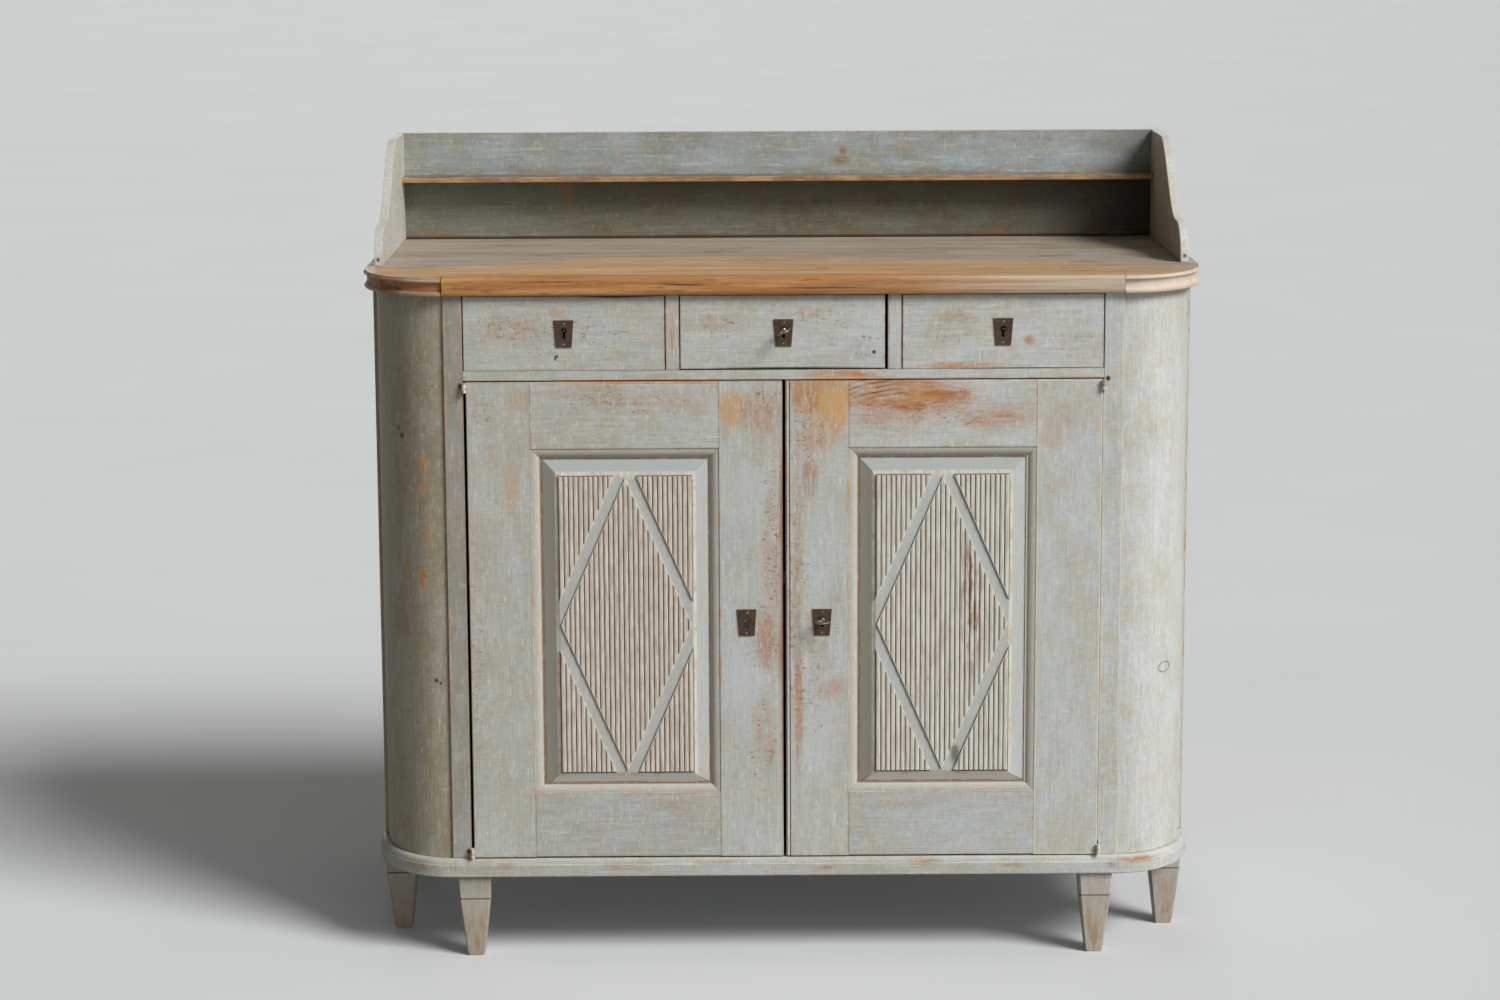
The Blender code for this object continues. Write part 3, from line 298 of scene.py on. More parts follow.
class Finish:
    """A procedural material, built up by short calls."""

    def __init__(self, name):
        self.material = bpy.data.materials.new(name)
        self.material.use_nodes = True
        self.tree = self.material.node_tree
        self.shader = self.tree.nodes["Principled BSDF"]
        self.place = self.add("ShaderNodeTexCoord").outputs["Object"]

    def add(self, kind, values=(), **settings):
        node = self.tree.nodes.new(kind)
        for key, value in settings.items():
            setattr(node, key, value)
        for socket, value in values:
            self.put(node.inputs[socket], value)
        return node

    def put(self, socket, value):
        if isinstance(value, bpy.types.NodeSocket):
            self.tree.links.new(value, socket)
        else:
            socket.default_value = value

    def math(self, operation, a, b=0.0):
        return self.add("ShaderNodeMath", ((0, a), (1, b)), operation=operation).outputs[0]

    def plus(self, a, b):
        return self.math("ADD", a, b)

    def minus(self, a, b):
        return self.math("SUBTRACT", a, b)

    def times(self, a, b):
        return self.math("MULTIPLY", a, b)

    def least(self, a, b):
        return self.math("MINIMUM", a, b)

    def most(self, a, b):
        return self.math("MAXIMUM", a, b)

    def apart(self, a, b):
        return self.math("ABSOLUTE", self.minus(a, b))

    def slant(self, a, b):
        """The long side of a square corner with these two sides."""
        return self.math("SQRT", self.plus(self.times(a, a), self.times(b, b)))

    def vector(self, operation, a, b=(0.0, 0.0, 0.0), out=0):
        return self.add("ShaderNodeVectorMath", ((0, a), (1, b)), operation=operation).outputs[out]

    def stored(self, name):
        return self.add("ShaderNodeAttribute", attribute_name=name).outputs["Vector"]

    def on_board(self):
        """The place, moved by the board's own shift."""
        return self.vector("ADD", self.place, self.stored("board"))

    def axes(self, where=None):
        return self.add("ShaderNodeSeparateXYZ", ((0, self.place if where is None else where),)).outputs

    def fade(self, value, start, end, low=0.0, high=1.0):
        values = ((0, value), (1, start), (2, end), (3, low), (4, high))
        return self.add("ShaderNodeMapRange", values, interpolation_type="SMOOTHSTEP").outputs[0]

    def noise(self, where, size, detail=3.0, roughness=0.55, stretch=None):
        if stretch is not None:
            where = self.vector("MULTIPLY", where, stretch)
        values = (("Vector", where), ("Scale", 1.0 / size), ("Detail", detail), ("Roughness", roughness))
        return self.add("ShaderNodeTexNoise", values).outputs["Fac"]

    def blend(self, share, first, second, way="MIX"):
        values = ((0, share), (6, first), (7, second))
        return self.add("ShaderNodeMix", values, data_type="RGBA", blend_type=way).outputs[2]

    def mark(self, centre, reach, strength=1.0):
        """A soft round mark at a place, with its own reach along each axis."""
        away = self.vector("SUBTRACT", self.place, centre)
        away = self.vector("DIVIDE", away, reach)
        return self.fade(self.vector("LENGTH", away, out=1), 1.0, 0.25, 0.0, strength)

    def edge(self):
        """Distance to the nearest arris, the middle one of the distances to the three sides."""
        low = self.vector("ABSOLUTE", self.stored("gap_low"))
        high = self.vector("ABSOLUTE", self.stored("gap_high"))
        x, y, z = self.axes(self.vector("MINIMUM", low, high))
        return self.most(self.least(x, y), self.least(self.most(x, y), z))

    def past_side(self):
        """Below nought where a worked moulding stands past the board's own sides."""
        gaps = self.vector("MINIMUM", self.stored("gap_low"), self.stored("gap_high"))
        x, y, z = self.axes(gaps)
        return self.least(self.least(x, y), z)

    def relief(self, height, strength, distance):
        values = (("Strength", strength), ("Distance", distance), ("Height", height))
        bump = self.add("ShaderNodeBump", values)
        self.put(self.shader.inputs["Normal"], bump.outputs[0])

    def finish(self, colour, roughness, metal=0.0, specular=0.35):
        self.put(self.shader.inputs["Base Color"], colour)
        self.put(self.shader.inputs["Roughness"], roughness)
        self.shader.inputs["Metallic"].default_value = metal
        self.shader.inputs["Specular IOR Level"].default_value = specular
        return self.material


def stretched(share):
    """Stretches for noise that runs along one axis, for each way the grain can go."""
    return {"X": (share, 1.0, 1.0), "Y": (1.0, share, 1.0), "Z": (1.0, 1.0, share)}


ALONG, RAGGED, SMUDGED = stretched(0.06), stretched(0.22), stretched(0.45)
print("recipe book open")

# %% [markdown]
# The floor is a plain pale sheet that runs past the horizon of the view. So large a sheet
# would throw too much light back up, more than the floor of a room does. It is therefore pale
# to the eye and in reflections, and darker to the light that bounces off it.

# %% Spread the floor
BOUNCE = (0.26, 0.255, 0.245, 1.0)
let_go()
bpy.ops.mesh.primitive_plane_add(size=160.0)
floor = bpy.context.object
floor.name = floor.data.name = "pale_floor"
pale = Finish("pale_floor")
cloud = pale.noise(pale.place, 0.9, 2.0)
tone = pale.blend(cloud, shade(207, 211, 214), shade(216, 219, 221))
path = pale.add("ShaderNodeLightPath").outputs
seen = pale.most(path["Is Camera Ray"], path["Is Glossy Ray"])
seen = pale.most(seen, path["Is Transmission Ray"])
tone = pale.blend(seen, BOUNCE, tone)
floor.data.materials.append(pale.finish(tone, 0.85))
print("floor spread")

# %% [markdown]
# The wood under the paint is pine: orange-brown, with growth rings that run far along the
# board and fine darker fibres between them. Both are noise, stretched along the grain. Where
# the cabinet was never painted, the same wood is paler, dry and a little dusty.

# %% Choose the pine
PINE = (shade(210, 160, 108), shade(190, 130, 80), shade(130, 82, 50))
RAW_PINE = (shade(206, 178, 138), shade(188, 152, 108), shade(150, 112, 74))


def pine_wood(f, where, grain, tones=PINE):
    """Bare pine colour and its fibre noise, for a board whose grain runs one way."""
    along = f.vector("MULTIPLY", where, ALONG[grain])
    fibre = f.noise(along, 0.0018, 4.0, 0.62)
    rings = f.noise(along, 0.010, 3.0, 0.5)
    wood = f.blend(f.fade(rings, 0.36, 0.60), tones[0], tones[1])
    return f.blend(f.fade(fibre, 0.52, 0.72, 0.0, 0.8), wood, tones[2]), fibre


def raw_pine(f, where, grain):
    """Pine that was never painted."""
    wood = pine_wood(f, where, grain, RAW_PINE)[0]
    dust = f.noise(where, 0.07, 3.0)
    return f.blend(f.fade(dust, 0.40, 0.68, 0.0, 0.5), wood, shade(168, 148, 120))


print("pine chosen")

# %% [markdown]
# The grey paint is brushed thin. It is clouded with khaki and blue-grey, smudged with chalk,
# and has a fine crackle both ways, like canvas. It is painted darker towards the left and lighter
# towards the right, as painted shade and painted light from the window side. Noises of several
# sizes give all this without any picture.

# %% Brush on the paint film
GREY = (shade(193, 195, 187), shade(189, 186, 173), shade(190, 195, 195))
CHALK, OLIVE_CAST = (0.85, 0.87, 0.88), (0.91, 0.905, 0.855)
# Painted shade on the left and painted light on the right: two tints that multiply the film.
PAINTED_SHADE_LEFT, PAINTED_LIGHT_RIGHT = (0.862, 0.862, 0.850, 1.0), (1.035, 1.055, 1.095, 1.0)


def paint_film(f, where, grain, tones=GREY):
    """Thin old paint: its colour, then its mottle, weave and the two ways of the crackle."""
    cloud = f.noise(where, 0.17, 3.0)
    mottle = f.noise(where, 0.024, 5.0, 0.62)
    brush = f.noise(where, 0.0034, 3.0, 0.6, ALONG[grain])
    flat = f.noise(where, 0.0028, 3.0, 0.6, RAGGED["X"])
    upright = f.noise(where, 0.0028, 3.0, 0.6, RAGGED["Z"])
    smudge = f.noise(where, 0.042, 5.0, 0.66, SMUDGED[grain])
    weave = f.times(f.plus(flat, upright), 0.5)

    chalky = (*[0.80 * c + 0.20 * w for c, w in zip(tones[2], CHALK)], 1.0)
    olive = (*[c * o for c, o in zip(tones[1], OLIVE_CAST)], 1.0)
    film = f.blend(f.fade(cloud, 0.34, 0.66), tones[0], tones[1])
    film = f.blend(f.fade(mottle, 0.42, 0.70, 0.0, 0.85), film, tones[2])
    film = f.blend(f.fade(mottle, 0.46, 0.30, 0.0, 0.45), film, shade(192, 176, 160))
    film = f.blend(f.fade(smudge, 0.50, 0.66, 0.0, 0.48), film, chalky)
    film = f.blend(f.fade(smudge, 0.47, 0.34, 0.0, 0.42), film, olive)

    tone = f.times(f.fade(brush, 0.30, 0.70, 0.93, 1.06), f.fade(weave, 0.36, 0.64, 0.925, 1.055))
    film = f.blend(1.0, film, tone, "MULTIPLY")
    # Painted light and shade: the film is darker towards the left and lighter towards the right.
    paler_to_the_right = f.blend(f.fade(f.axes()[0], -0.60, 0.55), PAINTED_SHADE_LEFT, PAINTED_LIGHT_RIGHT)
    film = f.blend(1.0, film, paler_to_the_right, "MULTIPLY")
    film = f.blend(f.fade(brush, 0.60, 0.74, 0.0, 0.45), film, shade(208, 206, 198))
    film = f.blend(f.fade(weave, 0.40, 0.30, 0.0, 0.40), film, shade(146, 126, 106))
    return film, mottle, weave, flat, upright


print("paint film ready")

# %% [markdown]
# The paint has gone wherever hands, keys and cloths rubbed. Wear is one field: edge rub plus
# placed marks plus ragged noise stretched along the grain. Where the field is high the paint
# is gone, and just below that it is thin and pinkish. Small dark chips gather in groups, and
# a mark on the front is written in the order that a ruler gives it.

# %% Let the paint wear and chip
def wear_field(f, marks, wear, rub, near, mottle, roughs):
    """How far the paint has worn: edge rub, placed marks and ragged noise."""
    rim = f.fade(near, 0.0, 0.0042, 0.36 * rub, 0.0)
    field = f.times(rim, f.fade(mottle, 0.40, 0.60, 0.40, 1.0))
    field = f.plus(field, wear)
    for centre, reach, strength in marks:
        field = f.plus(field, f.mark(centre, reach, strength))
    for rough, share in zip(roughs, (1.35, 0.65, 0.60)):
        field = f.plus(field, f.times(f.minus(rough, 0.5), share))
    return field


def chips(f, where, dots, ragged):
    """Small chips, more of them in some patches and at the dots given."""
    group = f.fade(f.noise(where, 0.055, 2.0), 0.58, 0.76, 0.0, 0.8)
    for centre, reach, strength in dots:
        group = f.plus(group, f.mark(centre, reach, strength))
    dash = f.noise(where, 0.0034, 4.0, 0.66, (0.36, 1.0, 1.0))
    dot = f.noise(where, 0.0030, 4.0, 0.66, (1.0, 1.0, 0.55))
    patchy = f.plus(f.noise(where, 0.013, 4.0, 0.65), f.times(ragged, 0.6))
    patchy = f.fade(patchy, 0.66, 0.94, 0.15, 1.25)
    group = f.least(f.times(group, patchy), 1.05)
    speck = f.plus(f.most(dash, dot), f.times(group, 0.125))
    return f.fade(speck, 0.69, 0.79, 0.0, 0.72)


def spots(rows, y=-0.2535, depth=0.03):
    """Marks on the front, written as x, z, half width, half height, strength and any colour."""
    return [((x, y, z), (wide, depth, tall), *rest) for x, z, wide, tall, *rest in rows]


print("wear ready")

# %% [markdown]
# Now the layers go over each other in the order in which they came about: film, stains in
# the film, dirt along the arrises, which on two edges is a cream painted highlight instead, thin
# paint, bare wood, chips, pale flecks of the crackle, then holes, dark joints and painted shade
# in notches and gaps, and last the faces that were never painted. Bump follows the same fields.

# %% Mix the worn paint
THIN, GRIME, HOLE = shade(186, 152, 128), shade(128, 94, 64), shade(44, 34, 28)


def painted(name, grain, marks=(), dots=(), stains=(), dark_marks_and_shade=(), wear=0.0, rub=1.0, dirt=0.5,
            tones=GREY, pine=PINE, grime=GRIME, bare=None, extra=None):
    """Brushed grey paint over pine, worn at the arrises and at the marks and dots given."""
    f = Finish(name)
    where = f.on_board()
    wood, fibre = pine_wood(f, where, grain, pine)
    film, mottle, weave, flat, upright = paint_film(f, where, grain, tones)
    ragged = f.noise(where, 0.009, 6.0, 0.66, RAGGED[grain])
    scraped = f.noise(where, 0.0032, 3.0, 0.6, RAGGED[grain])
    near, past = f.edge(), f.past_side()

    cream = f.blend(f.fade(mottle, 0.50, 0.68), shade(182, 180, 169), shade(186, 172, 152))
    film = f.blend(f.fade(past, -0.0003, -0.0016, 0.0, 0.65), film, cream)
    streak = f.fade(f.plus(ragged, scraped), 0.76, 1.20, 0.22, 1.0)
    for centre, reach, strength, stain in stains:
        film = f.blend(f.times(f.mark(centre, reach, strength), streak), film, stain)

    field = wear_field(f, marks, wear, rub, near, mottle, (ragged, scraped, weave))
    thin, gone = f.fade(field, 0.14, 0.46, 0.0, 0.70), f.fade(field, 0.34, 0.66)
    # Dirt along the arrises. Where a cream colour is given, this line is a painted highlight.
    line = f.times(f.fade(near, 0.0003, 0.0022, dirt, 0.0), f.fade(ragged, 0.34, 0.58))
    line = f.most(line, f.fade(past, -0.0112, -0.0138, 0.0, 0.85))
    colour = f.blend(line, film, grime)
    colour = f.blend(thin, colour, THIN)
    colour = f.blend(gone, colour, wood)

    chipped = chips(f, where, dots, ragged)
    rusty = f.blend(f.fade(ragged, 0.42, 0.56), shade(108, 84, 62), shade(154, 112, 80))
    colour = f.blend(chipped, colour, rusty)
    fleck = (*[0.62 * c + 0.38 for c in tones[0][:3]], 1.0)
    colour = f.blend(f.fade(upright, 0.61, 0.71, 0.0, 0.55), colour, fleck)
    colour = f.blend(f.fade(flat, 0.64, 0.74, 0.0, 0.40), colour, fleck)
    if extra is not None:
        colour = extra(f, colour, ragged)
    # Holes, dark joints and marks, and painted shade in notches and gaps.
    for centre, reach, strength, *tint in dark_marks_and_shade:
        colour = f.blend(f.mark(centre, reach, strength), colour, tint[0] if tint else HOLE)
    if bare is not None:
        colour = f.blend(bare(f), colour, raw_pine(f, where, grain))

    height = f.plus(f.times(weave, 0.6), f.times(fibre, gone))
    height = f.minus(height, f.times(gone, 0.4))
    f.relief(f.minus(height, f.times(chipped, 0.5)), 0.5, 0.0007)
    rough = f.fade(f.plus(gone, f.times(mottle, 0.5)), 0.0, 1.3, 0.54, 0.82)
    return f.finish(colour, rough)


print("paint mixed")

# %% [markdown]
# The worktop is the most used board. It is grey at the back, rubbed through tan to bare orange
# pine at the front, and paler again at the right. The two corners have a hollow moulding: brown
# in the shade on the left, cream with old paint on the right. Three recipes keep this in hand.

# %% Finish the worktop's upper face
EDGE_PINE = (shade(200, 150, 96), shade(174, 120, 70), shade(104, 66, 38))
EDGE_CRACKS = (((-0.139, -0.264, 0.9795), (0.050, 0.02, 0.0016)),
               ((0.05, -0.264, 0.974), (0.09, 0.02, 0.001)),
               ((-0.33, -0.264, 0.984), (0.08, 0.02, 0.001)))
EDGE_JOINTS = ((-0.4785, 0.85), (0.4780, 0.40))


def rubbed_top(f, where, band, wisp, fibre):
    """Grey at the back, tan and orange towards the front, scuffed, with painted shade in the far corner."""
    x, y, z = f.axes()
    flame = f.noise(where, 0.040, 4.0, 0.6, (0.18, 1.0, 1.0))
    scuff = f.noise(where, 0.030, 6.0, 0.70, (0.30, 1.0, 1.0))
    grey = f.blend(f.fade(band, 0.42, 0.60), shade(167, 159, 148), shade(158, 138, 115))
    tan = f.blend(f.fade(wisp, 0.40, 0.60), shade(208, 174, 134), shade(176, 138, 98))
    orange = f.blend(f.fade(wisp, 0.40, 0.62), shade(200, 154, 102), shade(168, 116, 70))
    level = f.fade(y, 0.20, -0.26)
    level = f.minus(level, f.fade(x, 0.30, 0.55, 0.0, 0.25))
    level = f.minus(level, f.fade(x, -0.38, -0.53, 0.0, 0.30))
    for rough, share in ((band, 0.9), (flame, 1.3)):
        level = f.plus(level, f.times(f.minus(rough, 0.5), share))
    colour = f.blend(f.fade(level, 0.42, 0.76), grey, tan)
    colour = f.blend(f.fade(level, 0.92, 1.20), colour, orange)
    colour = f.blend(f.fade(scuff, 0.55, 0.66, 0.0, 0.55), colour, shade(110, 94, 78))
    colour = f.blend(f.fade(scuff, 0.44, 0.32, 0.0, 0.50), colour, shade(206, 190, 164))
    # Painted shade: a near-black line along the back, where the worktop meets the gallery.
    dust = f.times(f.fade(y, 0.2640, 0.2705, 0.0, 0.8), f.fade(z, 0.9876, 0.9884))
    colour = f.blend(dust, colour, shade(52, 42, 32))
    colour = f.blend(f.fade(wisp, 0.62, 0.72, 0.0, 0.6), colour, shade(206, 188, 160))
    return f.blend(f.fade(fibre, 0.56, 0.72, 0.0, 0.55), colour, shade(112, 86, 60))


print(len(EDGE_CRACKS), "cracks and", len(EDGE_JOINTS), "joints to draw")

# %% [markdown]
# The front edge and the corner moulding follow. Their colours change by place along the edge,
# so each place is a fade along one axis, and two fades multiplied give a stretch of the edge.

# %% Finish the worktop's edges
def worn_front(f, colour, wood, wisp):
    """Bare wood along the front edge, pale to the right, with cracks and two joints."""
    x, y = f.axes()[:2]
    front = f.plus(y, f.times(f.minus(wisp, 0.5), 0.10))
    lip = f.times(f.fade(front, -0.205, -0.252), f.fade(x, 0.34, 0.02, 0.08, 1.0))
    lip = f.times(lip, f.fade(x, -0.500, -0.478, 0.25, 1.0))
    pale = f.times(f.fade(y, -0.240, -0.256), f.fade(x, 0.08, 0.36))
    paler_to_the_right = f.blend(f.fade(wisp, 0.44, 0.58), shade(200, 188, 170), shade(188, 152, 118))
    colour = f.blend(pale, colour, paler_to_the_right)
    colour = f.blend(lip, colour, wood)
    colour = f.blend(f.fade(f.edge(), 0.0, 0.003, 0.4, 0.0), colour, shade(120, 84, 52))
    for centre, reach in EDGE_CRACKS:
        crack = f.times(f.mark(centre, reach), f.fade(wisp, 0.36, 0.5))
        colour = f.blend(crack, colour, shade(70, 44, 26))
    for joint, share in EDGE_JOINTS:
        line = f.fade(f.apart(x, joint), 0.0006, 0.0012, share, 0.0)
        colour = f.blend(f.times(line, f.fade(y, -0.225, -0.240)), colour, shade(64, 46, 32))
    return colour


def corner_moulding(f, colour, band):
    """The hollow moulding of the two corners: brown on the left, cream on the right."""
    x, _, z = f.axes()
    ends = f.times(f.fade(f.math("ABSOLUTE", x), 0.4785, 0.4800), f.fade(z, 0.9886, 0.9878))
    hollow = f.times(f.fade(z, 0.9695, 0.9705), f.fade(z, 0.9835, 0.9825))
    to_right = f.fade(x, -0.30, 0.30)
    left, right = f.fade(band, 0.40, 0.60), f.fade(band, 0.44, 0.66)
    lips = f.blend(to_right, f.blend(left, shade(172, 160, 142), shade(168, 118, 76)),
                   f.blend(right, shade(204, 194, 180), shade(200, 178, 156)))
    cove = f.blend(to_right, f.blend(left, shade(170, 116, 70), shade(126, 88, 60)),
                   f.blend(right, shade(210, 203, 191), shade(204, 188, 170)))
    return f.blend(ends, colour, f.blend(hollow, lips, cove))


def worktop_finish(name):
    """The whole worktop, with raw wood on the back edge that stands against the wall."""
    f = Finish(name)
    where = f.on_board()
    wood, fibre = pine_wood(f, where, "X", EDGE_PINE)
    band = f.noise(where, 0.024, 5.0, 0.62, (0.04, 1.0, 1.0))
    wisp = f.noise(where, 0.0060, 5.0, 0.66, (0.018, 1.0, 1.0))
    colour = rubbed_top(f, where, band, wisp, fibre)
    colour = worn_front(f, colour, wood, wisp)
    colour = corner_moulding(f, colour, band)
    colour = f.blend(f.fade(f.axes()[1], 0.2848, 0.2858), colour, raw_pine(f, where, "X"))
    f.relief(f.plus(fibre, wisp), 0.5, 0.0006)
    return f.finish(colour, f.fade(band, 0.3, 0.7, 0.5, 0.7))


dress("top_board", "worn_", worktop_finish("worktop_finish"), 0.0012)

# %% [markdown]
# The plinth board runs under everything, with its round edge in front. It is the same paint,
# kicked and stained in a few places. Its upper side is the cupboard's floor and stays bare, so
# a rule of distances finds the part that lies within the doors, round corners and sides.

# %% Dress the plinth board
PLINTH_FACE = -0.24
BASE_TONES = (shade(188, 189, 181), shade(183, 179, 166), shade(185, 189, 189))


def inside_floor(f):
    """Bare wood on the cupboard's floor, within the line of doors, round corners and sides."""
    x, y, z = f.axes()
    beside = f.most(f.minus(f.math("ABSOLUTE", x), 0.478), 0.0)
    before = f.most(f.minus(-0.148, y), 0.0)
    return f.times(f.fade(z, 0.1486, 0.1492), f.fade(f.slant(beside, before), 0.0875, 0.0860))


scuffs = ((-0.40, 0.1390, 0.030), (-0.24, 0.1360, 0.050), (-0.10, 0.1420, 0.060), (0.06, 0.1340, 0.040),
          (0.20, 0.1420, 0.050), (0.33, 0.1350, 0.040), (0.50, 0.1420, 0.050))
base_stains = [(-0.527, 0.136, 0.035, 0.012, 0.8, shade(150, 118, 84)),
               (0.470, 0.136, 0.012, 0.010, 1.2, shade(170, 124, 88))]
base_stains += [(x, z, wide, 0.008, 1.5, shade(172, 126, 96)) for x, z, wide in scuffs]
base_joints = [(-0.4745, 0.138, 0.0014, 0.020, 0.7), (0.4800, 0.138, 0.0014, 0.020, 0.7)]
base_dots = [(-0.30, 0.137, 0.15, 0.012, 0.9), (0.25, 0.137, 0.20, 0.012, 0.9)]
paint_base = painted("plinth_paint", "X", dots=spots(base_dots, PLINTH_FACE), tones=BASE_TONES,
                     stains=spots(base_stains, PLINTH_FACE), dark_marks_and_shade=spots(base_joints, PLINTH_FACE),
                     bare=inside_floor)
dress("bottom_board", "worn_", paint_base, 0.0008)

# %% [markdown]
# Two stiles close the front beside the doors, and two dividers stand between the drawers. The
# stiles get dark notches of painted shade where the hinge pins sit, and the left stile gets
# darker tones as painted shade. On the right, thick paint has nearly filled the gap beside the
# door, and a cream painted highlight runs along the stile's edges. That bead is real, so it is
# pulled out of the stile's side by a hair, between the hinges, and not only painted.

# %% Dress the stiles and dividers
STILE_FACE = -0.2525
# Painted highlight: the cream colour of the edge line on the right stile and right hinge stile.
CREAM_EDGE_HIGHLIGHT, LINE_KHAKI = shade(226, 215, 196), shade(170, 158, 136)
# Painted shade: darker tones for the left stile.
LEFT_STILE_SHADE_TONES = (shade(162, 160, 149), shade(157, 151, 136), shade(158, 160, 157))
GAP_EDGE, PAINT_BEAD = 0.4515, 0.0012
BEAD_ENDS = (0.167, 0.173, 0.820, 0.826)


def fill_hinge_gap(stile):
    """Old paint has nearly filled the gap beside the right door, between its two hinges."""
    edit_all(stile)
    for height in BEAD_ENDS:
        bpy.ops.mesh.select_all(action="SELECT")
        bpy.ops.mesh.bisect(plane_co=(0, 0, height), plane_no=(0, 0, 1))
    edit_where(stile, "FACE", lambda face: face.normal.x < -0.9 and face.center.x < GAP_EDGE
               and BEAD_ENDS[1] < face.center.z < BEAD_ENDS[2])
    bpy.ops.transform.translate(value=(-PAINT_BEAD, 0.0, 0.0))
    close_edit()


# Painted shade: dark notches on the stiles where the hinge pins sit.
pin_notch_shade = [((x, STILE_FACE, z), (0.0052, 0.02, 0.0056), 1.0)
               for x, z in ((-0.4552, 0.8362), (-0.4552, 0.1600), (0.4562, 0.8425))]
left_edge_stains = [(-0.4765, z, 0.006, 0.05, 0.5, shade(186, 146, 120)) for z in (0.80, 0.66, 0.43, 0.24)]
divider_stains = [(-0.1560, 0.905, 0.005, 0.045, 0.8, shade(190, 142, 110))]
paint_stile_left = painted("left_stile_paint", "Z", rub=1.1, dark_marks_and_shade=pin_notch_shade, tones=LEFT_STILE_SHADE_TONES,
                           stains=spots(left_edge_stains, STILE_FACE))
# Painted highlight: a strong cream line along the right stile's edges.
paint_stile_right = painted("right_stile_paint", "Z", rub=0.3, dark_marks_and_shade=pin_notch_shade, dirt=1.4, grime=CREAM_EDGE_HIGHLIGHT)
paint_divider = painted("divider_paint", "Z", rub=1.1, stains=spots(divider_stains, STILE_FACE))
dress("front_stile_left", "worn_", paint_stile_left, 0.0010)
dress("front_stile_right", "worn_", paint_stile_right, 0.0010, fill_hinge_gap)
dress("drawer_divider_left", "worn_", paint_divider, 0.0008)
dress("drawer_divider_right", "worn_", paint_divider, 0.0008)

# %% [markdown]
# The corners are curved panels. The left one gets darker, warmer olive tones as painted shade,
# and is scraped to orange in a few places; the right one is bleached to cream and has the ring of
# an old wooden plug. A mark on a curve needs a long reach in depth, or the bend would carry the
# panel out of it.

# %% Dress the curved corners
# Painted shade: darker, warmer olive tones for the left corner.
OLIVE_SHADE = (shade(172, 167, 146), shade(164, 154, 129), shade(174, 172, 160))
CREAM = (shade(194, 194, 186), shade(188, 186, 174), shade(192, 195, 192))
CURVE = {"y": -0.22, "depth": 0.2}
PLUG_X, PLUG_Z, PLUG_RADIUS = 0.546, 0.418, 0.0072


def plug_ring(f, colour, ragged):
    """The outline of a wooden plug let into the right corner panel."""
    x, _, z = f.axes()
    beside, over = f.times(f.minus(x, PLUG_X), 0.82), f.minus(z, PLUG_Z)
    line = f.fade(f.apart(f.slant(beside, over), PLUG_RADIUS), 0.0006, 0.0016, 0.7, 0.0)
    return f.blend(f.times(line, f.fade(ragged, 0.32, 0.48, 0.3, 1.0)), colour, shade(122, 112, 92))


corner_marks = [(-0.509, 0.722, 0.010, 0.022, 0.62), (-0.512, 0.688, 0.008, 0.018, 0.56),
                (-0.538, 0.692, 0.006, 0.012, 0.32), (-0.513, 0.560, 0.010, 0.030, 0.58),
                (-0.536, 0.577, 0.006, 0.024, 0.46), (-0.505, 0.62, 0.010, 0.05, 0.34),
                (-0.500, 0.86, 0.02, 0.06, 0.16), (-0.492, 0.375, 0.006, 0.012, 0.40)]
corner_holes = [(-0.497, 0.411, 0.0040, 0.0045, 0.95), (-0.491, 0.407, 0.0030, 0.0035, 0.9),
                (-0.541, 0.762, 0.0055, 0.0060, 0.75), (-0.546, 0.772, 0.0030, 0.0060, 0.7)]
corner_dots = [(-0.51, 0.85, 0.06, 0.09, 1.1), (-0.51, 0.60, 0.05, 0.18, 1.0), (-0.57, 0.50, 0.03, 0.40, 0.9)]
paint_corner_left = painted("left_corner_paint", "Z", spots(corner_marks, **CURVE),
                            spots(corner_dots, **CURVE), dark_marks_and_shade=spots(corner_holes, **CURVE), tones=OLIVE_SHADE)
paint_corner_right = painted("right_corner_paint", "Z", tones=CREAM, dirt=0.35, grime=LINE_KHAKI, rub=0.4,
                             wear=-0.16, extra=plug_ring)
dress("corner_panel_left", "worn_", paint_corner_left, 0.0008)
dress("corner_panel_right", "worn_", paint_corner_right, 0.0008)

# %% [markdown]
# The side boards are painted outside and bare inside. The left one gets darker olive tones like
# the corner beside it, as painted shade.

# %% Dress the sides
# Painted shade: darker olive tones for the left side board.
LEFT_SIDE_SHADE_TONES = (shade(180, 177, 161), shade(172, 165, 146), shade(179, 180, 172))


def inside_case(f):
    """Bare wood on the faces that look into the cupboard."""
    return f.fade(f.math("ABSOLUTE", f.axes()[0]), 0.5665, 0.5695, 1.0, 0.0)


for label, tones in (("left", LEFT_SIDE_SHADE_TONES), ("right", GREY)):
    paint = painted(label + "_side_paint", "Z", bare=inside_case, dirt=0.4, rub=1.5, tones=tones)
    dress("side_board_" + label, "worn_", paint, 0.0012)

# %% [markdown]
# The gallery is a low rail round the back of the worktop: a back board, two shaped ends and a
# narrow shelf for plates. The back board has painted shade under the shelf, darkest to the right
# and lighter to the left, and painted shade in the right-hand corner. It has two rust stains, and
# a dark line of painted shade where it meets the worktop.

# %% Shade the gallery's back board
BACK_FACE = 0.2715
RUST_STAINS = (((-0.328, BACK_FACE, 1.062), (0.016, 0.02, 0.022)),
               ((-0.322, BACK_FACE, 1.040), (0.006, 0.02, 0.030)),
               ((0.096, BACK_FACE, 1.108), (0.022, 0.02, 0.010)),
               ((0.100, BACK_FACE, 1.122), (0.008, 0.02, 0.012)))


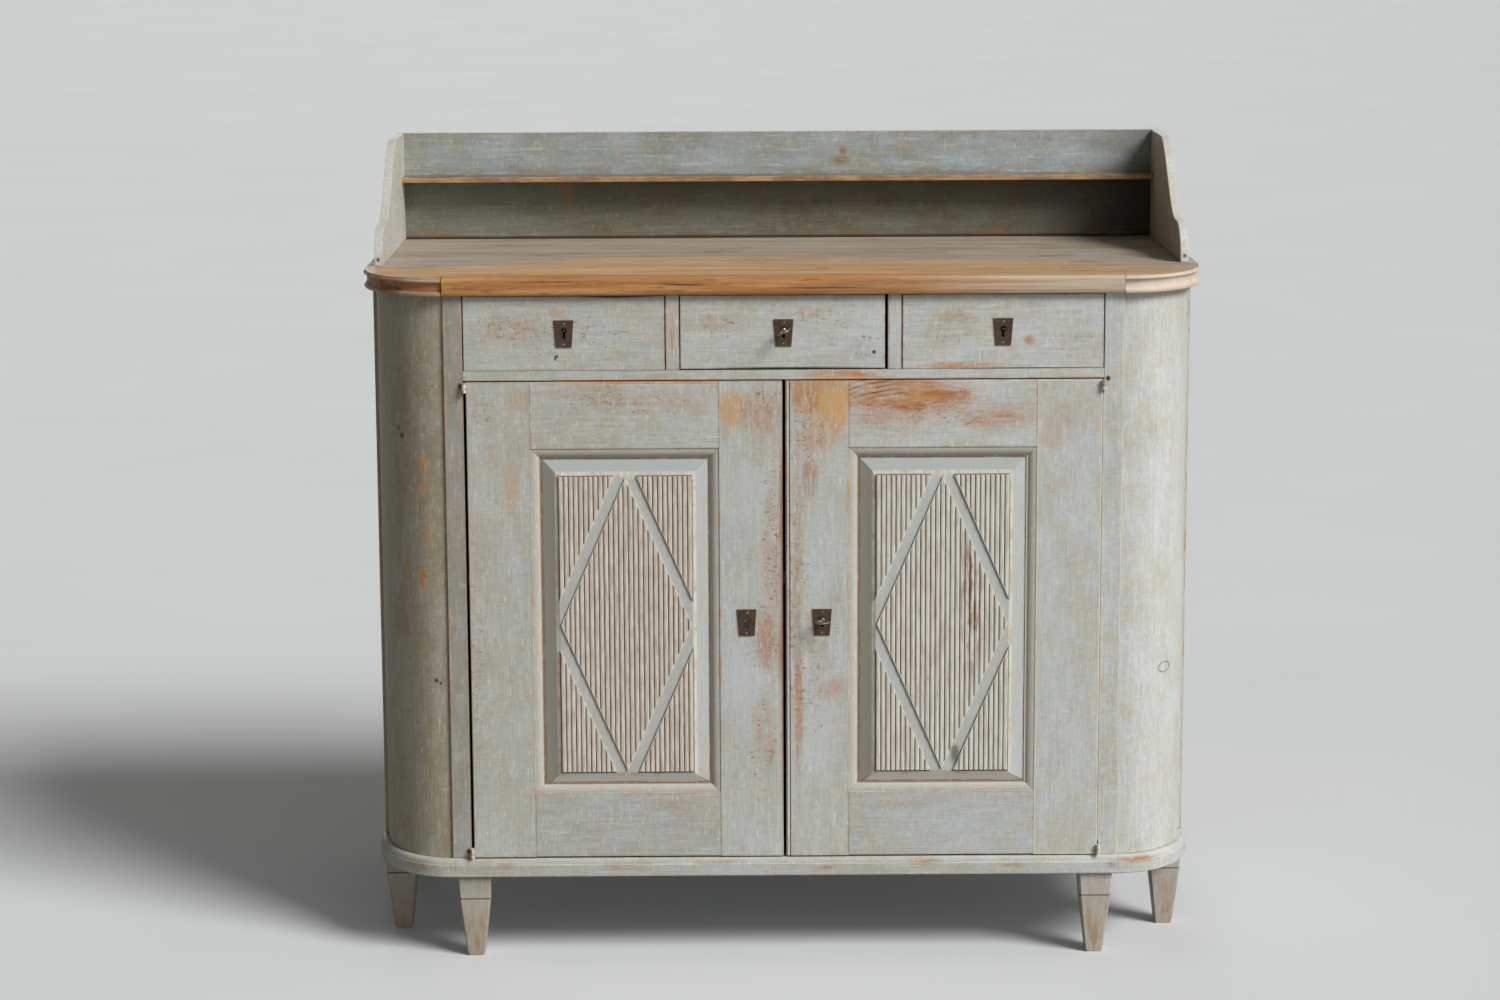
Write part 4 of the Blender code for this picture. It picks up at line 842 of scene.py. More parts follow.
def shaded_back(f, colour, ragged):
    """Painted shade under the shelf, in the right-hand corner and at the foot; rust stains and brown marks.
    """
    x, y, z = f.axes()
    front = f.fade(y, 0.2735, 0.2722)
    # Painted shade under the shelf: darker and browner, lighter to the left, darkest to the right.
    shade_tint = f.blend(f.fade(z, 1.070, 1.000), shade(150, 138, 112), shade(184, 178, 158))
    shade_tint = f.blend(f.fade(ragged, 0.36, 0.64, 0.0, 0.35), shade_tint, shade(150, 130, 98))
    shade_tint = f.blend(f.fade(x, -0.10, -0.55, 0.0, 0.55), shade_tint, shade(214, 210, 192))
    shade_tint = f.blend(f.fade(x, 0.05, 0.58, 0.0, 0.9), shade_tint, shade(112, 100, 80))
    under_shelf_shade = f.times(f.times(f.fade(z, 1.086, 1.079), front), 0.95)
    colour = f.blend(under_shelf_shade, colour, f.blend(1.0, colour, shade_tint, "MULTIPLY"))
    for centre, reach in RUST_STAINS:
        stain = f.times(f.mark(centre, reach, 0.75), f.fade(ragged, 0.36, 0.56))
        colour = f.blend(stain, colour, shade(146, 100, 58))
    above = f.times(f.fade(z, 1.104, 1.090), f.fade(ragged, 0.40, 0.60, 0.0, 0.55))
    above = f.times(above, f.fade(z, 1.084, 1.088))
    colour = f.blend(above, colour, shade(146, 116, 84))
    # Painted shade in the right-hand corner.
    corner_shade = f.times(f.fade(x, 0.45, 0.57, 0.0, 0.55), front)
    colour = f.blend(corner_shade, colour, f.blend(1.0, colour, shade(140, 130, 108), "MULTIPLY"))
    low = f.times(f.fade(z, 1.006, 0.994), f.fade(ragged, 0.46, 0.60, 0.0, 0.7))
    colour = f.blend(low, colour, shade(132, 98, 68))
    # Painted shade: a dark line along the foot, where the back board meets the worktop.
    return f.blend(f.fade(z, 0.9945, 0.9920, 0.0, 0.75), colour, shade(48, 38, 30))


GALLERY_TONES = (shade(163, 170, 168), shade(149, 148, 133), shade(160, 171, 176))
back_marks = spots([(0.096, 1.108, 0.03, 0.012, 0.2), (0.30, 1.03, 0.15, 0.01, 0.15)], BACK_FACE)
paint_gallery = painted("gallery_paint", "X", back_marks, tones=GALLERY_TONES, extra=shaded_back, dirt=0.6)
dress("gallery_back", "worn_", paint_gallery, 0.0012)

# %% [markdown]
# The shelf's front edge is rubbed to brown wood by every plate that was leant there. The two
# shaped ends are cream, held by a nail each, and the right one's inner face is painted darker
# and browner as painted shade.

# %% Dress the gallery's shelf and ends
LEDGE_TONES = (shade(104, 109, 113), shade(110, 106, 98), shade(108, 117, 126))
END_TONES = (shade(204, 202, 193), shade(196, 190, 176), shade(196, 199, 198))


def ledge_lip(f, colour, ragged):
    """The shelf's front edge, rubbed to brown wood all along."""
    brown = f.blend(f.fade(ragged, 0.36, 0.62), shade(184, 146, 106), shade(146, 110, 80))
    return f.blend(f.fade(f.axes()[1], 0.2300, 0.2285), colour, brown)


def shaded_inner_end(f, colour, ragged):
    """Painted shade: the inner face of the right-hand end is darker and browner."""
    inner = f.times(f.fade(f.axes()[0], 0.5765, 0.5750, 0.0, 0.9), f.fade(ragged, 0.30, 0.60, 0.75, 1.0))
    return f.blend(inner, colour, f.blend(1.0, colour, shade(212, 202, 178), "MULTIPLY"))


paint_ledge = painted("ledge_paint", "X", tones=LEDGE_TONES, rub=0.6, extra=ledge_lip)
dress("gallery_shelf", "worn_", paint_ledge, 0.0010)
end_nails = [((x, -0.1040, 0.9985), (0.0040, 0.014, 0.0046), 0.85) for x in (-0.5805, 0.5805)]
for label, extra in (("left", None), ("right", shaded_inner_end)):
    paint = painted("gallery_end_%s_paint" % label, "Y", tones=END_TONES, rub=0.8, dirt=0.35, dark_marks_and_shade=end_nails,
                    extra=extra)
    dress("gallery_side_" + label, "worn_", paint, 0.0010)

# %% [markdown]
# Six square legs taper to small feet and have one scored line round them. Their paint has
# worn to pinkish brown low down, where brooms and shoes knock. The left legs get darker tones as
# painted shade and the right legs lighter ones as painted light. A leg narrows downwards, so its
# distances to the sides are worked out from its width at each height.

# %% Dress the legs
SCORED, LEG_TOP, FOOT_HALF, LEG_HALF = 0.088, 0.1225, 0.01275, 0.024
# Painted shade and painted light: two tones of one paint, for the left and the right legs.
LEG_PAINTED_SHADE = (shade(172, 171, 160), shade(166, 161, 146), shade(166, 170, 168))
LEG_PAINTED_LIGHT = (shade(184, 180, 169), shade(178, 171, 156), shade(178, 179, 176))


def kicked_foot(f, colour, ragged):
    """The foot, scuffed to pinkish brown where brooms and shoes knock."""
    z = f.axes()[2]
    low = f.times(f.fade(z, 0.110, 0.010, 0.15, 0.85), f.fade(ragged, 0.38, 0.62, 0.15, 1.0))
    scuffed = f.blend(f.fade(ragged, 0.46, 0.64), shade(188, 170, 150), shade(168, 136, 108))
    colour = f.blend(low, colour, scuffed)
    return f.blend(f.fade(f.apart(z, SCORED), 0.0006, 0.0016, 0.7, 0.0), colour, shade(104, 90, 74))


def mark_taper(leg, low, high):
    """Stores the distances to the four sloping sides."""
    points = np.array([v.co[:] for v in leg.data.vertices])
    middle = np.array([(low[0] + high[0]) / 2, (low[1] + high[1]) / 2])
    half = np.interp(points[:, 2], [0.0, LEG_TOP], [FOOT_HALF, LEG_HALF])[:, None]
    across = points[:, :2] - middle
    near = np.column_stack([half + across, points[:, 2]])
    far = np.column_stack([half - across, high[2] - points[:, 2]])
    mark_edges(leg, (0.0, 0.0, 0.0), None, near)
    leg.data.attributes["gap_high"].data.foreach_set("vector", far.astype(np.float32).ravel())


paint_leg = {label: painted(label + "_leg_paint", "Z", rub=0.55, dirt=0.35, tones=tones, extra=kicked_foot)
             for label, tones in (("left", LEG_PAINTED_SHADE), ("right", LEG_PAINTED_LIGHT))}
for place in ("front_left", "front_right", "side_left", "side_right", "back_left", "back_right"):
    node = "leg_" + place
    leg = merged_copy(node, "worn_" + node)
    smooth(leg)
    mark_taper(leg, *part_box(node))
    leg.data.materials.append(paint_leg["right" if "right" in place else "left"])
    stand_for(leg, node)
print("6 legs dressed")

# %% [markdown]
# Inside, the wood was never painted: the back, the drawer deck, the shelf and the drawer
# boxes are pale dry pine, in planks whose joints show as dark lines. Only the front edge of
# the deck shows between drawers and doors, so that edge has paint.

# %% Dress the bare boards
def bare_pine(name, grain, across, width):
    """Unpainted pine planks side by side, each with its own tone, dark at the joints."""
    f = Finish(name)
    count = f.math("DIVIDE", f.axes()["XYZ".index(across)], width)
    plank = f.math("FLOOR", count)
    own = f.add("ShaderNodeTexWhiteNoise", (("W", plank),), noise_dimensions="1D").outputs["Value"]
    shift = f.add("ShaderNodeCombineXYZ", ((0, own), (1, plank), (2, own))).outputs[0]
    where = f.vector("ADD", f.on_board(), shift)
    colour = raw_pine(f, where, grain)
    colour = f.blend(1.0, colour, f.fade(own, 0.0, 1.0, 0.86, 1.06), "MULTIPLY")
    joint = f.apart(f.math("FRACT", count), 0.5)
    gap = 0.5 - 0.0009 / width
    start = gap - 0.0010 / width
    colour = f.blend(f.fade(joint, start, gap, 0.0, 0.85), colour, shade(70, 50, 34))
    colour = f.blend(f.fade(f.edge(), 0.0, 0.005, 0.4, 0.0), colour, shade(132, 100, 68))
    fibre = f.noise(where, 0.0018, 4.0, 0.62, ALONG[grain])
    f.relief(f.minus(fibre, f.fade(joint, start, gap, 0.0, 2.0)), 0.5, 0.0007)
    return f.finish(colour, f.fade(fibre, 0.3, 0.7, 0.66, 0.82))


def behind_edge(f):
    """Bare wood behind the deck's front edge."""
    return f.fade(f.axes()[1], -0.2515, -0.2480, 0.0, 1.0)


deck_marks = spots([(0.076, 0.8485, 0.085, 0.012, 0.5)], STILE_FACE)
paint_deck = painted("deck_paint", "X", deck_marks, wear=0.04, bare=behind_edge)
pine_box = bare_pine("planks_deep", "Y", "X", 0.094)
bare_boards = {"back_panel": bare_pine("planks_upright", "Z", "X", 0.142), "drawer_deck": paint_deck,
               "cupboard_shelf": bare_pine("planks_across", "X", "Y", 0.173),
               "drawer_box_left": pine_box, "drawer_box_centre": pine_box, "drawer_box_right": pine_box}
for node, finish in bare_boards.items():
    dress(node, "bare_", finish, 0.0008)

# %% [markdown]
# Three drawer fronts sit flush in the frieze. Each has its own scuffs, chips, stains and
# holes, written as places on the front. Where a gap round a front is wide, a dark line of painted
# shadow runs along its edge.

# %% Note the marks on the drawer fronts
drawer_marks = {
    "left": [(-0.385, 0.913, 0.05, 0.014, 0.16), (-0.3194, 0.8755, 0.006, 0.004, 0.45),
             (-0.20, 0.90, 0.03, 0.02, 0.1)],
    "centre": [(0.127, 0.8815, 0.005, 0.004, 0.5), (0.068, 0.893, 0.010, 0.005, 0.35),
               (0.044, 0.936, 0.012, 0.004, 0.3)],
    "right": [(0.2415, 0.8625, 0.04, 0.006, 0.5), (0.342, 0.897, 0.010, 0.006, 0.4)]}
drawer_dots = {
    "left": [(-0.375, 0.915, 0.09, 0.034, 2.2), (-0.26, 0.915, 0.07, 0.030, 1.6),
             (-0.31, 0.885, 0.12, 0.03, 0.9)],
    "centre": [(0.06, 0.930, 0.08, 0.030, 1.4), (0.115, 0.89, 0.05, 0.030, 1.5),
               (-0.09, 0.92, 0.06, 0.03, 1.2)],
    "right": [(0.24, 0.91, 0.08, 0.040, 1.2), (0.39, 0.89, 0.08, 0.034, 1.0)]}
drawer_holes = {
    "left": [(-0.3190, 0.8775, 0.0040, 0.0030, 0.95), (-0.3205, 0.8740, 0.0022, 0.0034, 0.9)],
    "centre": [(0.1270, 0.8815, 0.0040, 0.0042, 0.95)], "right": []}
# Painted shadow: for each front, x, which edge (1 top, 0 bottom), half width and half height.
drawer_gap_shadows = {"left": (-0.235, 1, 0.075, 0.0044), "centre": (0.0, 0, 0.17, 0.0036),
               "right": (0.34, 0, 0.16, 0.0022)}
drawer_stains = {
    "left": [(-0.385, 0.915, 0.075, 0.022, 0.45, shade(180, 148, 122)),
             (-0.32, 0.94, 0.02, 0.012, 0.6, shade(186, 142, 112))],
    "centre": [(0.04, 0.94, 0.04, 0.012, 0.45, shade(182, 146, 120)),
               (-0.10, 0.925, 0.05, 0.02, 0.35, shade(180, 152, 128))],
    "right": [(0.250, 0.8610, 0.075, 0.009, 0.9, shade(190, 128, 84)),
              (0.345, 0.897, 0.012, 0.010, 0.8, shade(182, 120, 80)),
              (0.24, 0.93, 0.04, 0.012, 0.4, shade(184, 148, 122))]}
print({label: len(rows) for label, rows in drawer_marks.items()}, "marks on the drawers")

# %% [markdown]
# With the marks noted, one loop makes the three paints and dresses the fronts. The faces that
# look into the drawer are bare.

# %% Dress the drawer fronts
def drawer_back(f):
    """Bare wood on the face that looks into the drawer."""
    return f.fade(f.axes()[1], -0.2365, -0.2325, 0.0, 1.0)


for label, rows in drawer_marks.items():
    node = "drawer_front_" + label
    x, end, half, tall = drawer_gap_shadows[label]
    # Painted shadow along the front's edge, in its wide gap.
    gap = (x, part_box(node)[end][2], half, tall, 0.9)
    paint = painted("drawer_paint_" + label, "X", spots(rows), spots(drawer_dots[label]), bare=drawer_back,
                    dark_marks_and_shade=spots(drawer_holes[label] + [gap]), stains=spots(drawer_stains[label]))
    dress(node, "worn_", paint, 0.0009)

# %% [markdown]
# The doors are framed: two stiles, two rails, and a moulding worked on their inner edges. The
# arrises are already round in the solids. On the real doors paint has filled the moulding, so
# its points are picked and pressed a quarter of the way towards the door's face.

# %% Press the door moulding
OPEN_OUT, OPEN_IN, OPEN_LOW, OPEN_HIGH = 0.3575, 0.0915, 0.2455, 0.7465
DOOR_FACE, LIP_DEPTH, RUBBED, HAIR = -0.2555, 0.0095, 0.75, 0.0002


def without_moulding(node, member, side):
    """The box of a stile or rail, up to the opening and without the moulding that stands in it."""
    low, high = [list(corner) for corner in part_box(node)]
    if "rail" in member:
        low[0], high[0] = sorted((side * OPEN_OUT, side * OPEN_IN))
        if member == "top_rail":
            low[2] = OPEN_HIGH
        else:
            high[2] = OPEN_LOW
    else:
        inner, outward = (OPEN_OUT, side) if member == "hinge_stile" else (OPEN_IN, -side)
        (low if outward > 0 else high)[0] = side * inner
    return low, high


def rub_moulding(piece, low, high):
    """Presses the moulding towards the door's face, as years of rubbing and paint have."""
    def on_moulding(point):
        x, y, z = point.co
        beside = x < low[0] - HAIR or x > high[0] + HAIR
        over = z < low[2] - HAIR or z > high[2] + HAIR
        return (beside or over) and y < DOOR_FACE + LIP_DEPTH + HAIR

    edit_where(piece, "VERT", on_moulding)
    bpy.ops.transform.resize(value=(1.0, RUBBED, 1.0), center_override=(0.0, DOOR_FACE, 0.0))
    close_edit()


print("moulding keeps", RUBBED, "of its depth")

# %% [markdown]
# Each stile and rail has its own marks, chips and stains, read off the real doors and written
# as places on the front. Most paint is lost on the right door, round its top corner and along
# the edge where the doors meet, because that is the door that is opened by hand.

# %% Note where the doors are worn and chipped
door_marks = {
    ("left", "hinge_stile"): [(-0.384, 0.701, 0.010, 0.016, 0.30), (-0.383, 0.667, 0.008, 0.014, 0.3)],
    ("left", "lock_stile"): [(-0.010, 0.62, 0.012, 0.14, 0.20), (-0.022, 0.504, 0.012, 0.018, 0.36),
                             (-0.032, 0.478, 0.012, 0.020, 0.36), (-0.0235, 0.447, 0.010, 0.020, 0.34),
                             (-0.045, 0.355, 0.008, 0.020, 0.26), (-0.020, 0.305, 0.008, 0.022, 0.30)],
    ("left", "top_rail"): [(-0.216, 0.810, 0.13, 0.034, 0.14), (-0.20, 0.841, 0.20, 0.0035, 0.50)],
    ("left", "bottom_rail"): [(-0.22, 0.19, 0.10, 0.02, 0.08)],
    ("right", "hinge_stile"): [(0.384, 0.734, 0.014, 0.018, 0.22)],
    ("right", "lock_stile"): [(0.050, 0.834, 0.055, 0.014, 0.26), (0.037, 0.709, 0.014, 0.030, 0.30),
                              (0.022, 0.576, 0.009, 0.036, 0.40), (0.036, 0.491, 0.016, 0.026, 0.26),
                              (0.020, 0.366, 0.008, 0.090, 0.44), (0.072, 0.404, 0.014, 0.014, 0.30),
                              (0.012, 0.62, 0.010, 0.22, 0.20)],
    ("right", "top_rail"): [(0.165, 0.822, 0.15, 0.050, 0.46), (0.205, 0.812, 0.08, 0.030, 0.16),
                            (0.297, 0.787, 0.06, 0.018, 0.28), (0.12, 0.775, 0.05, 0.03, 0.18)],
    ("right", "bottom_rail"): []}
door_dots = {
    ("left", "hinge_stile"): [(-0.44, 0.45, 0.02, 0.3, 1.2), (-0.41, 0.80, 0.05, 0.05, 1.2)],
    ("left", "lock_stile"): [(-0.014, 0.62, 0.028, 0.16, 2.2), (-0.03, 0.47, 0.04, 0.08, 2.0),
                             (-0.03, 0.80, 0.05, 0.06, 1.5), (-0.03, 0.32, 0.04, 0.12, 1.2)],
    ("left", "top_rail"): [(-0.23, 0.815, 0.15, 0.036, 1.4)],
    ("right", "lock_stile"): [(0.016, 0.56, 0.026, 0.24, 2.1), (0.04, 0.40, 0.05, 0.10, 1.6),
                              (0.03, 0.77, 0.05, 0.08, 1.3)],
    ("right", "top_rail"): [(0.20, 0.79, 0.16, 0.04, 1.3)]}
print(sum(len(rows) for rows in door_marks.values()), "worn places on the doors")

# %% [markdown]
# Stains are thin colour in the paint: rust from the locks, pink where the paint is nearly
# through, haze, and milky patches. The two edges where the doors meet are darkest, from hands.

# %% Note the stains on the doors
RUST, PINK = shade(160, 98, 64), shade(184, 136, 108)
HAZE, MILK = shade(188, 158, 134), shade(197, 202, 207)
EDGE_DARK, EDGE_BROWN = shade(108, 62, 38), shade(140, 84, 54)
door_stains = {
    ("left", "hinge_stile"): [(-0.384, 0.690, 0.016, 0.050, 0.7, shade(200, 156, 116)),
                              (-0.37, 0.815, 0.05, 0.025, 0.4, PINK), (-0.44, 0.60, 0.012, 0.2, 0.3, HAZE)],
    ("left", "lock_stile"): [(-0.060, 0.40, 0.040, 0.10, 0.7, MILK), (-0.050, 0.68, 0.030, 0.07, 0.5, MILK),
                             (-0.074, 0.803, 0.032, 0.040, 1.3, shade(196, 160, 118)),
                             (-0.030, 0.800, 0.040, 0.052, 0.8, PINK), (-0.016, 0.56, 0.022, 0.20, 0.5, PINK),
                             (-0.026, 0.470, 0.022, 0.055, 0.75, shade(172, 120, 88)),
                             (-0.03, 0.33, 0.02, 0.08, 0.4, PINK)],
    ("left", "top_rail"): [(-0.27, 0.825, 0.08, 0.020, 0.5, PINK), (-0.15, 0.812, 0.07, 0.026, 0.4, HAZE)],
    ("left", "bottom_rail"): [(-0.15, 0.226, 0.08, 0.012, 0.3, PINK)],
    ("right", "hinge_stile"): [(0.378, 0.76, 0.02, 0.03, 0.5, shade(196, 156, 122)),
                               (0.39, 0.79, 0.04, 0.03, 0.3, PINK)],
    ("right", "lock_stile"): [(0.050, 0.575, 0.036, 0.07, 0.7, MILK), (0.050, 0.35, 0.040, 0.09, 0.7, MILK),
                              (0.048, 0.828, 0.064, 0.052, 1.7, shade(186, 138, 94)),
                              (0.070, 0.804, 0.032, 0.056, 1.7, shade(206, 164, 110)),
                              (0.050, 0.765, 0.052, 0.040, 0.8, shade(192, 156, 130)),
                              (0.036, 0.705, 0.016, 0.040, 0.75, RUST),
                              (0.003, 0.55, 0.004, 0.62, 0.75, shade(176, 126, 84)),
                              (0.019, 0.49, 0.010, 0.36, 0.55, shade(172, 122, 92)),
                              (0.020, 0.366, 0.009, 0.10, 0.8, RUST), (0.066, 0.396, 0.026, 0.022, 0.6, PINK),
                              (0.045, 0.46, 0.026, 0.024, 0.5, shade(160, 132, 108))],
    ("right", "top_rail"): [(0.170, 0.822, 0.13, 0.040, 0.85, shade(190, 128, 82)),
                            (0.29, 0.79, 0.10, 0.03, 0.55, PINK), (0.15, 0.79, 0.10, 0.04, 0.5, HAZE)],
    ("right", "bottom_rail"): [(0.16, 0.226, 0.06, 0.012, 0.3, PINK)]}
meeting_edge = {
    ("left", "lock_stile"): [(-0.0005, 0.50, 0.0068, 0.52, 0.80, EDGE_DARK),
                             (-0.0005, 0.66, 0.010, 0.12, 0.5, EDGE_BROWN),
                             (-0.0005, 0.45, 0.012, 0.08, 0.5, EDGE_BROWN)],
    ("right", "lock_stile"): [(0.0075, 0.53, 0.0012, 0.50, 0.5, shade(128, 96, 70))]}
print(sum(len(rows) for rows in door_stains.values()), "stains on the doors")

# %% [markdown]
# A few members have a habit of their own: ochre wood on the right lock stile, growth rings that
# sweep through the bare patch of the right top rail, a cream painted highlight along the edges
# of the right hinge stile, and darker bottom rails. Each is a small change to the same paint, and
# then one loop dresses all.

# %% Dress the door frames
OCHRE = (shade(214, 174, 114), shade(202, 150, 88), shade(158, 108, 62))
RAIL_PINE = (shade(199, 146, 98), shade(175, 116, 72), shade(124, 80, 50))
RAIL_TONES = (shade(186, 188, 181), shade(182, 179, 167), shade(183, 188, 189))
RING_START, RING_SWEEP, RING_PITCH = 0.088, 0.075, 0.0068


def door_back(f):
    """Bare wood on the door's inner face."""
    return f.fade(f.axes()[1], -0.2345, -0.2325, 0.0, 1.0)


def grain_arcs(f, colour, ragged):
    """Dark growth rings that sweep up through the bare patch of the top rail."""
    x, _, z = f.axes()
    sweep = f.times(f.math("SQRT", f.most(f.minus(x, RING_START), 0.0)), RING_SWEEP)
    level = f.plus(f.minus(z, sweep), f.times(ragged, 0.006))
    phase = f.math("FRACT", f.math("DIVIDE", level, RING_PITCH))
    line = f.fade(f.apart(phase, 0.5), 0.24, 0.06)
    patch = f.mark((0.125, DOOR_FACE, 0.830), (0.060, 0.03, 0.022))
    here = f.times(patch, f.fade(ragged, 0.36, 0.50, 0.2, 0.85))
    return f.blend(f.times(line, here), colour, shade(112, 72, 46))


# Painted highlight: the right hinge stile's edge line is cream and strong.
habits = {("right", "lock_stile"): {"pine": OCHRE},
          ("right", "top_rail"): {"pine": RAIL_PINE, "extra": grain_arcs},
          ("right", "hinge_stile"): {"dirt": 1.4, "grime": CREAM_EDGE_HIGHLIGHT, "rub": 0.3, "wear": -0.10},
          ("left", "bottom_rail"): {"tones": RAIL_TONES}, ("right", "bottom_rail"): {"tones": RAIL_TONES}}
for member_of, rows in door_marks.items():
    label, member = member_of
    node = "door_%s_%s" % (member, label)
    low, high = without_moulding(node, member, -1 if label == "left" else 1)
    piece = merged_copy(node, "worn_" + node)
    rub_moulding(piece, low, high)
    smooth(piece)
    mark_edges(piece, low, high)
    settings = {"dirt": 0.28, **habits.get(member_of, {})}
    paint = painted(node + "_paint", "Z" if "stile" in member else "X", spots(rows),
                    spots(door_dots.get(member_of, [])), spots(door_stains[member_of]),
                    spots(meeting_edge.get(member_of, [])), bare=door_back, **settings)
    piece.data.materials.append(paint)
    stand_for(piece, node)
print(len(door_marks), "door members dressed")

# %% [markdown]
# Each door panel has a sloped margin and a raised field. The field is reeded: twenty-seven
# round-shouldered reeds stand side by side, and a flat lozenge band is cut through them, with
# a thin lip left standing on each side. Band and lips are lozenge rings, so one tool makes
# them: a four-sided cylinder whose two ends are inset and bridged.

# %% Model the lozenge band
REEDS, PITCH, SHOULDER = 27, 0.189 / 27, 0.0023
BED, CREST, STEP, FOOT = -0.2554, -0.2579, -0.2530, -0.2481
FIELD_LOW, FIELD_HIGH, PANEL_MIDDLE = 0.2762, 0.7080, 0.2245
FIELD_MIDDLE = (FIELD_LOW + FIELD_HIGH) / 2
LOZENGE_WIDE, LOZENGE_TALL, BAND, LIP, LIP_RISE = 0.11002, 0.25113, 0.0155, 0.0012, 0.0021


def lozenge_ring(middle, grown, width, front, back):
    """A four-sided prism with a smaller one taken out of it, grown sideways from the band's outline."""
    outline = LOZENGE_WIDE * LOZENGE_TALL / hypot(LOZENGE_WIDE, LOZENGE_TALL)
    size = 1.0 + grown / outline
    let_go()
    bpy.ops.mesh.primitive_cylinder_add(vertices=4, radius=1.0, depth=1.0, rotation=(radians(90), 0, 0))
    ring = bpy.context.object
    bpy.ops.object.transform_apply(location=True, rotation=True, scale=True)
    ring.scale = (LOZENGE_WIDE * size, back - front, LOZENGE_TALL * size)
    ring.location = (middle, (front + back) / 2, FIELD_MIDDLE)
    apply_all(ring)
    edit_where(ring, "FACE", lambda face: abs(face.normal.y) > 0.9)
    bpy.ops.mesh.inset(thickness=width, depth=0.0)
    bpy.ops.mesh.bridge_edge_loops()
    edit_all(ring)
    bpy.ops.mesh.normals_make_consistent(inside=False)
    close_edit()
    return ring


def band_lip(middle, grown):
    """A thin line left standing beside the band, kept within the reeded field."""
    lip = lozenge_ring(middle, grown, LIP, BED - LIP_RISE, BED + 0.0006)
    half = PITCH * REEDS / 2 - 0.0002
    field = block("field", (middle - half, BED - 0.01, FIELD_LOW + 0.002),
                  (middle + half, BED + 0.01, FIELD_HIGH - 0.002))
    carve(lip, field, "INTERSECT")
    return lip


print("reeds", round(PITCH * 1000, 2), "mm apart, band", BAND * 1000, "mm wide")

# %% [markdown]
# One reed is a block. Its two long front edges are bevelled round, its ends are cut to a slope
# by bisecting, an Array modifier sets the row, and the lozenge ring takes the band out. The
# plate behind is a block whose front face is inset three times: margin, step and bed. Then
# the bed and the lower step are moved down together, because the margin is narrower below.

# %% Model the reeds and the plate
def reed_row(middle):
    """Reeds side by side with round shoulders and sloped ends, cut through by the lozenge band."""
    first, half = middle - PITCH * (REEDS - 1) / 2, PITCH / 2 - 0.00004
    row = block("reeds", (first - half, CREST, FIELD_LOW), (first + half, BED + 0.0006, FIELD_HIGH))

    def long_and_front(edge):
        a, b = [row.data.vertices[i].co for i in edge.vertices]
        return max(a.y, b.y) < CREST + 0.0001 and abs(a.z - b.z) > 0.1

    edit_where(row, "EDGE", long_and_front)
    bpy.ops.mesh.bevel(offset=SHOULDER, segments=5)
    close_edit()
    for z, way in ((FIELD_HIGH, 1), (FIELD_LOW, -1)):
        edit_all(row)
        bpy.ops.mesh.bisect(plane_co=(0.0, BED, z), plane_no=(0.0, -0.6, 0.8 * way), use_fill=True,
                            clear_outer=True)
        close_edit()
    copies = row.modifiers.new("side_by_side", "ARRAY")
    copies.count = REEDS
    copies.use_relative_offset = False
    copies.use_constant_offset = True
    copies.constant_offset_displace = (PITCH, 0.0, 0.0)
    apply_all(row)
    carve(row, lozenge_ring(middle, 0.0, BAND, BED - 0.0100, BED + 0.0020), "DIFFERENCE")
    return row


PLATE_OUT, PLATE_IN, PLATE_LOW, PLATE_HIGH, PLATE_BACK = 0.3524, 0.0966, 0.2506, 0.7414, -0.2393
BED_LOW = 0.2840


def panel_plate(name, side):
    """The plate: tongue, sloped margin, chamfer and the bed that the reeds stand on."""
    x0, x1 = sorted((side * PLATE_OUT, side * PLATE_IN))
    plate = block(name, (x0, FOOT, PLATE_LOW), (x1, PLATE_BACK, PLATE_HIGH))
    edit_where(plate, "FACE", lambda face: face.normal.y < -0.9)
    for wide, rise in ((0.0100, 0.0), (0.0179, FOOT - STEP), (0.0055, STEP - BED)):
        bpy.ops.mesh.inset(thickness=wide, depth=rise)
    close_edit()

    def bed_or_low_step(point):
        return point.co.y < BED + HAIR or (point.co.y < STEP + HAIR and point.co.z < FIELD_MIDDLE)

    edit_where(plate, "VERT", bed_or_low_step)
    bpy.ops.transform.translate(value=(0.0, 0.0, FIELD_LOW - BED_LOW))
    close_edit()
    soften(plate, 0.0006, angle=12.0)
    return plate


print("panel plate", round((PLATE_OUT - PLATE_IN) * 1000, 1), "mm wide")

# %% [markdown]
# The reeds' crests are rubbed to cream. Blue-grey and pinkish brown stay in the grooves, which
# are also painted darker as painted shade. The band keeps its grey, with a painted highlight on
# one lip and painted shadow in one corner on each side. A lozenge is simple to find in a material:
# the share of its half width plus the share of its half height is one.

# %% Paint the reeds and the band
def lozenge_level(f, middle):
    """Nought at the panel's middle and one on the band's outline."""
    x, _, z = f.axes()
    across = f.math("DIVIDE", f.apart(x, middle), LOZENGE_WIDE)
    return f.plus(across, f.math("DIVIDE", f.apart(z, FIELD_MIDDLE), LOZENGE_TALL))


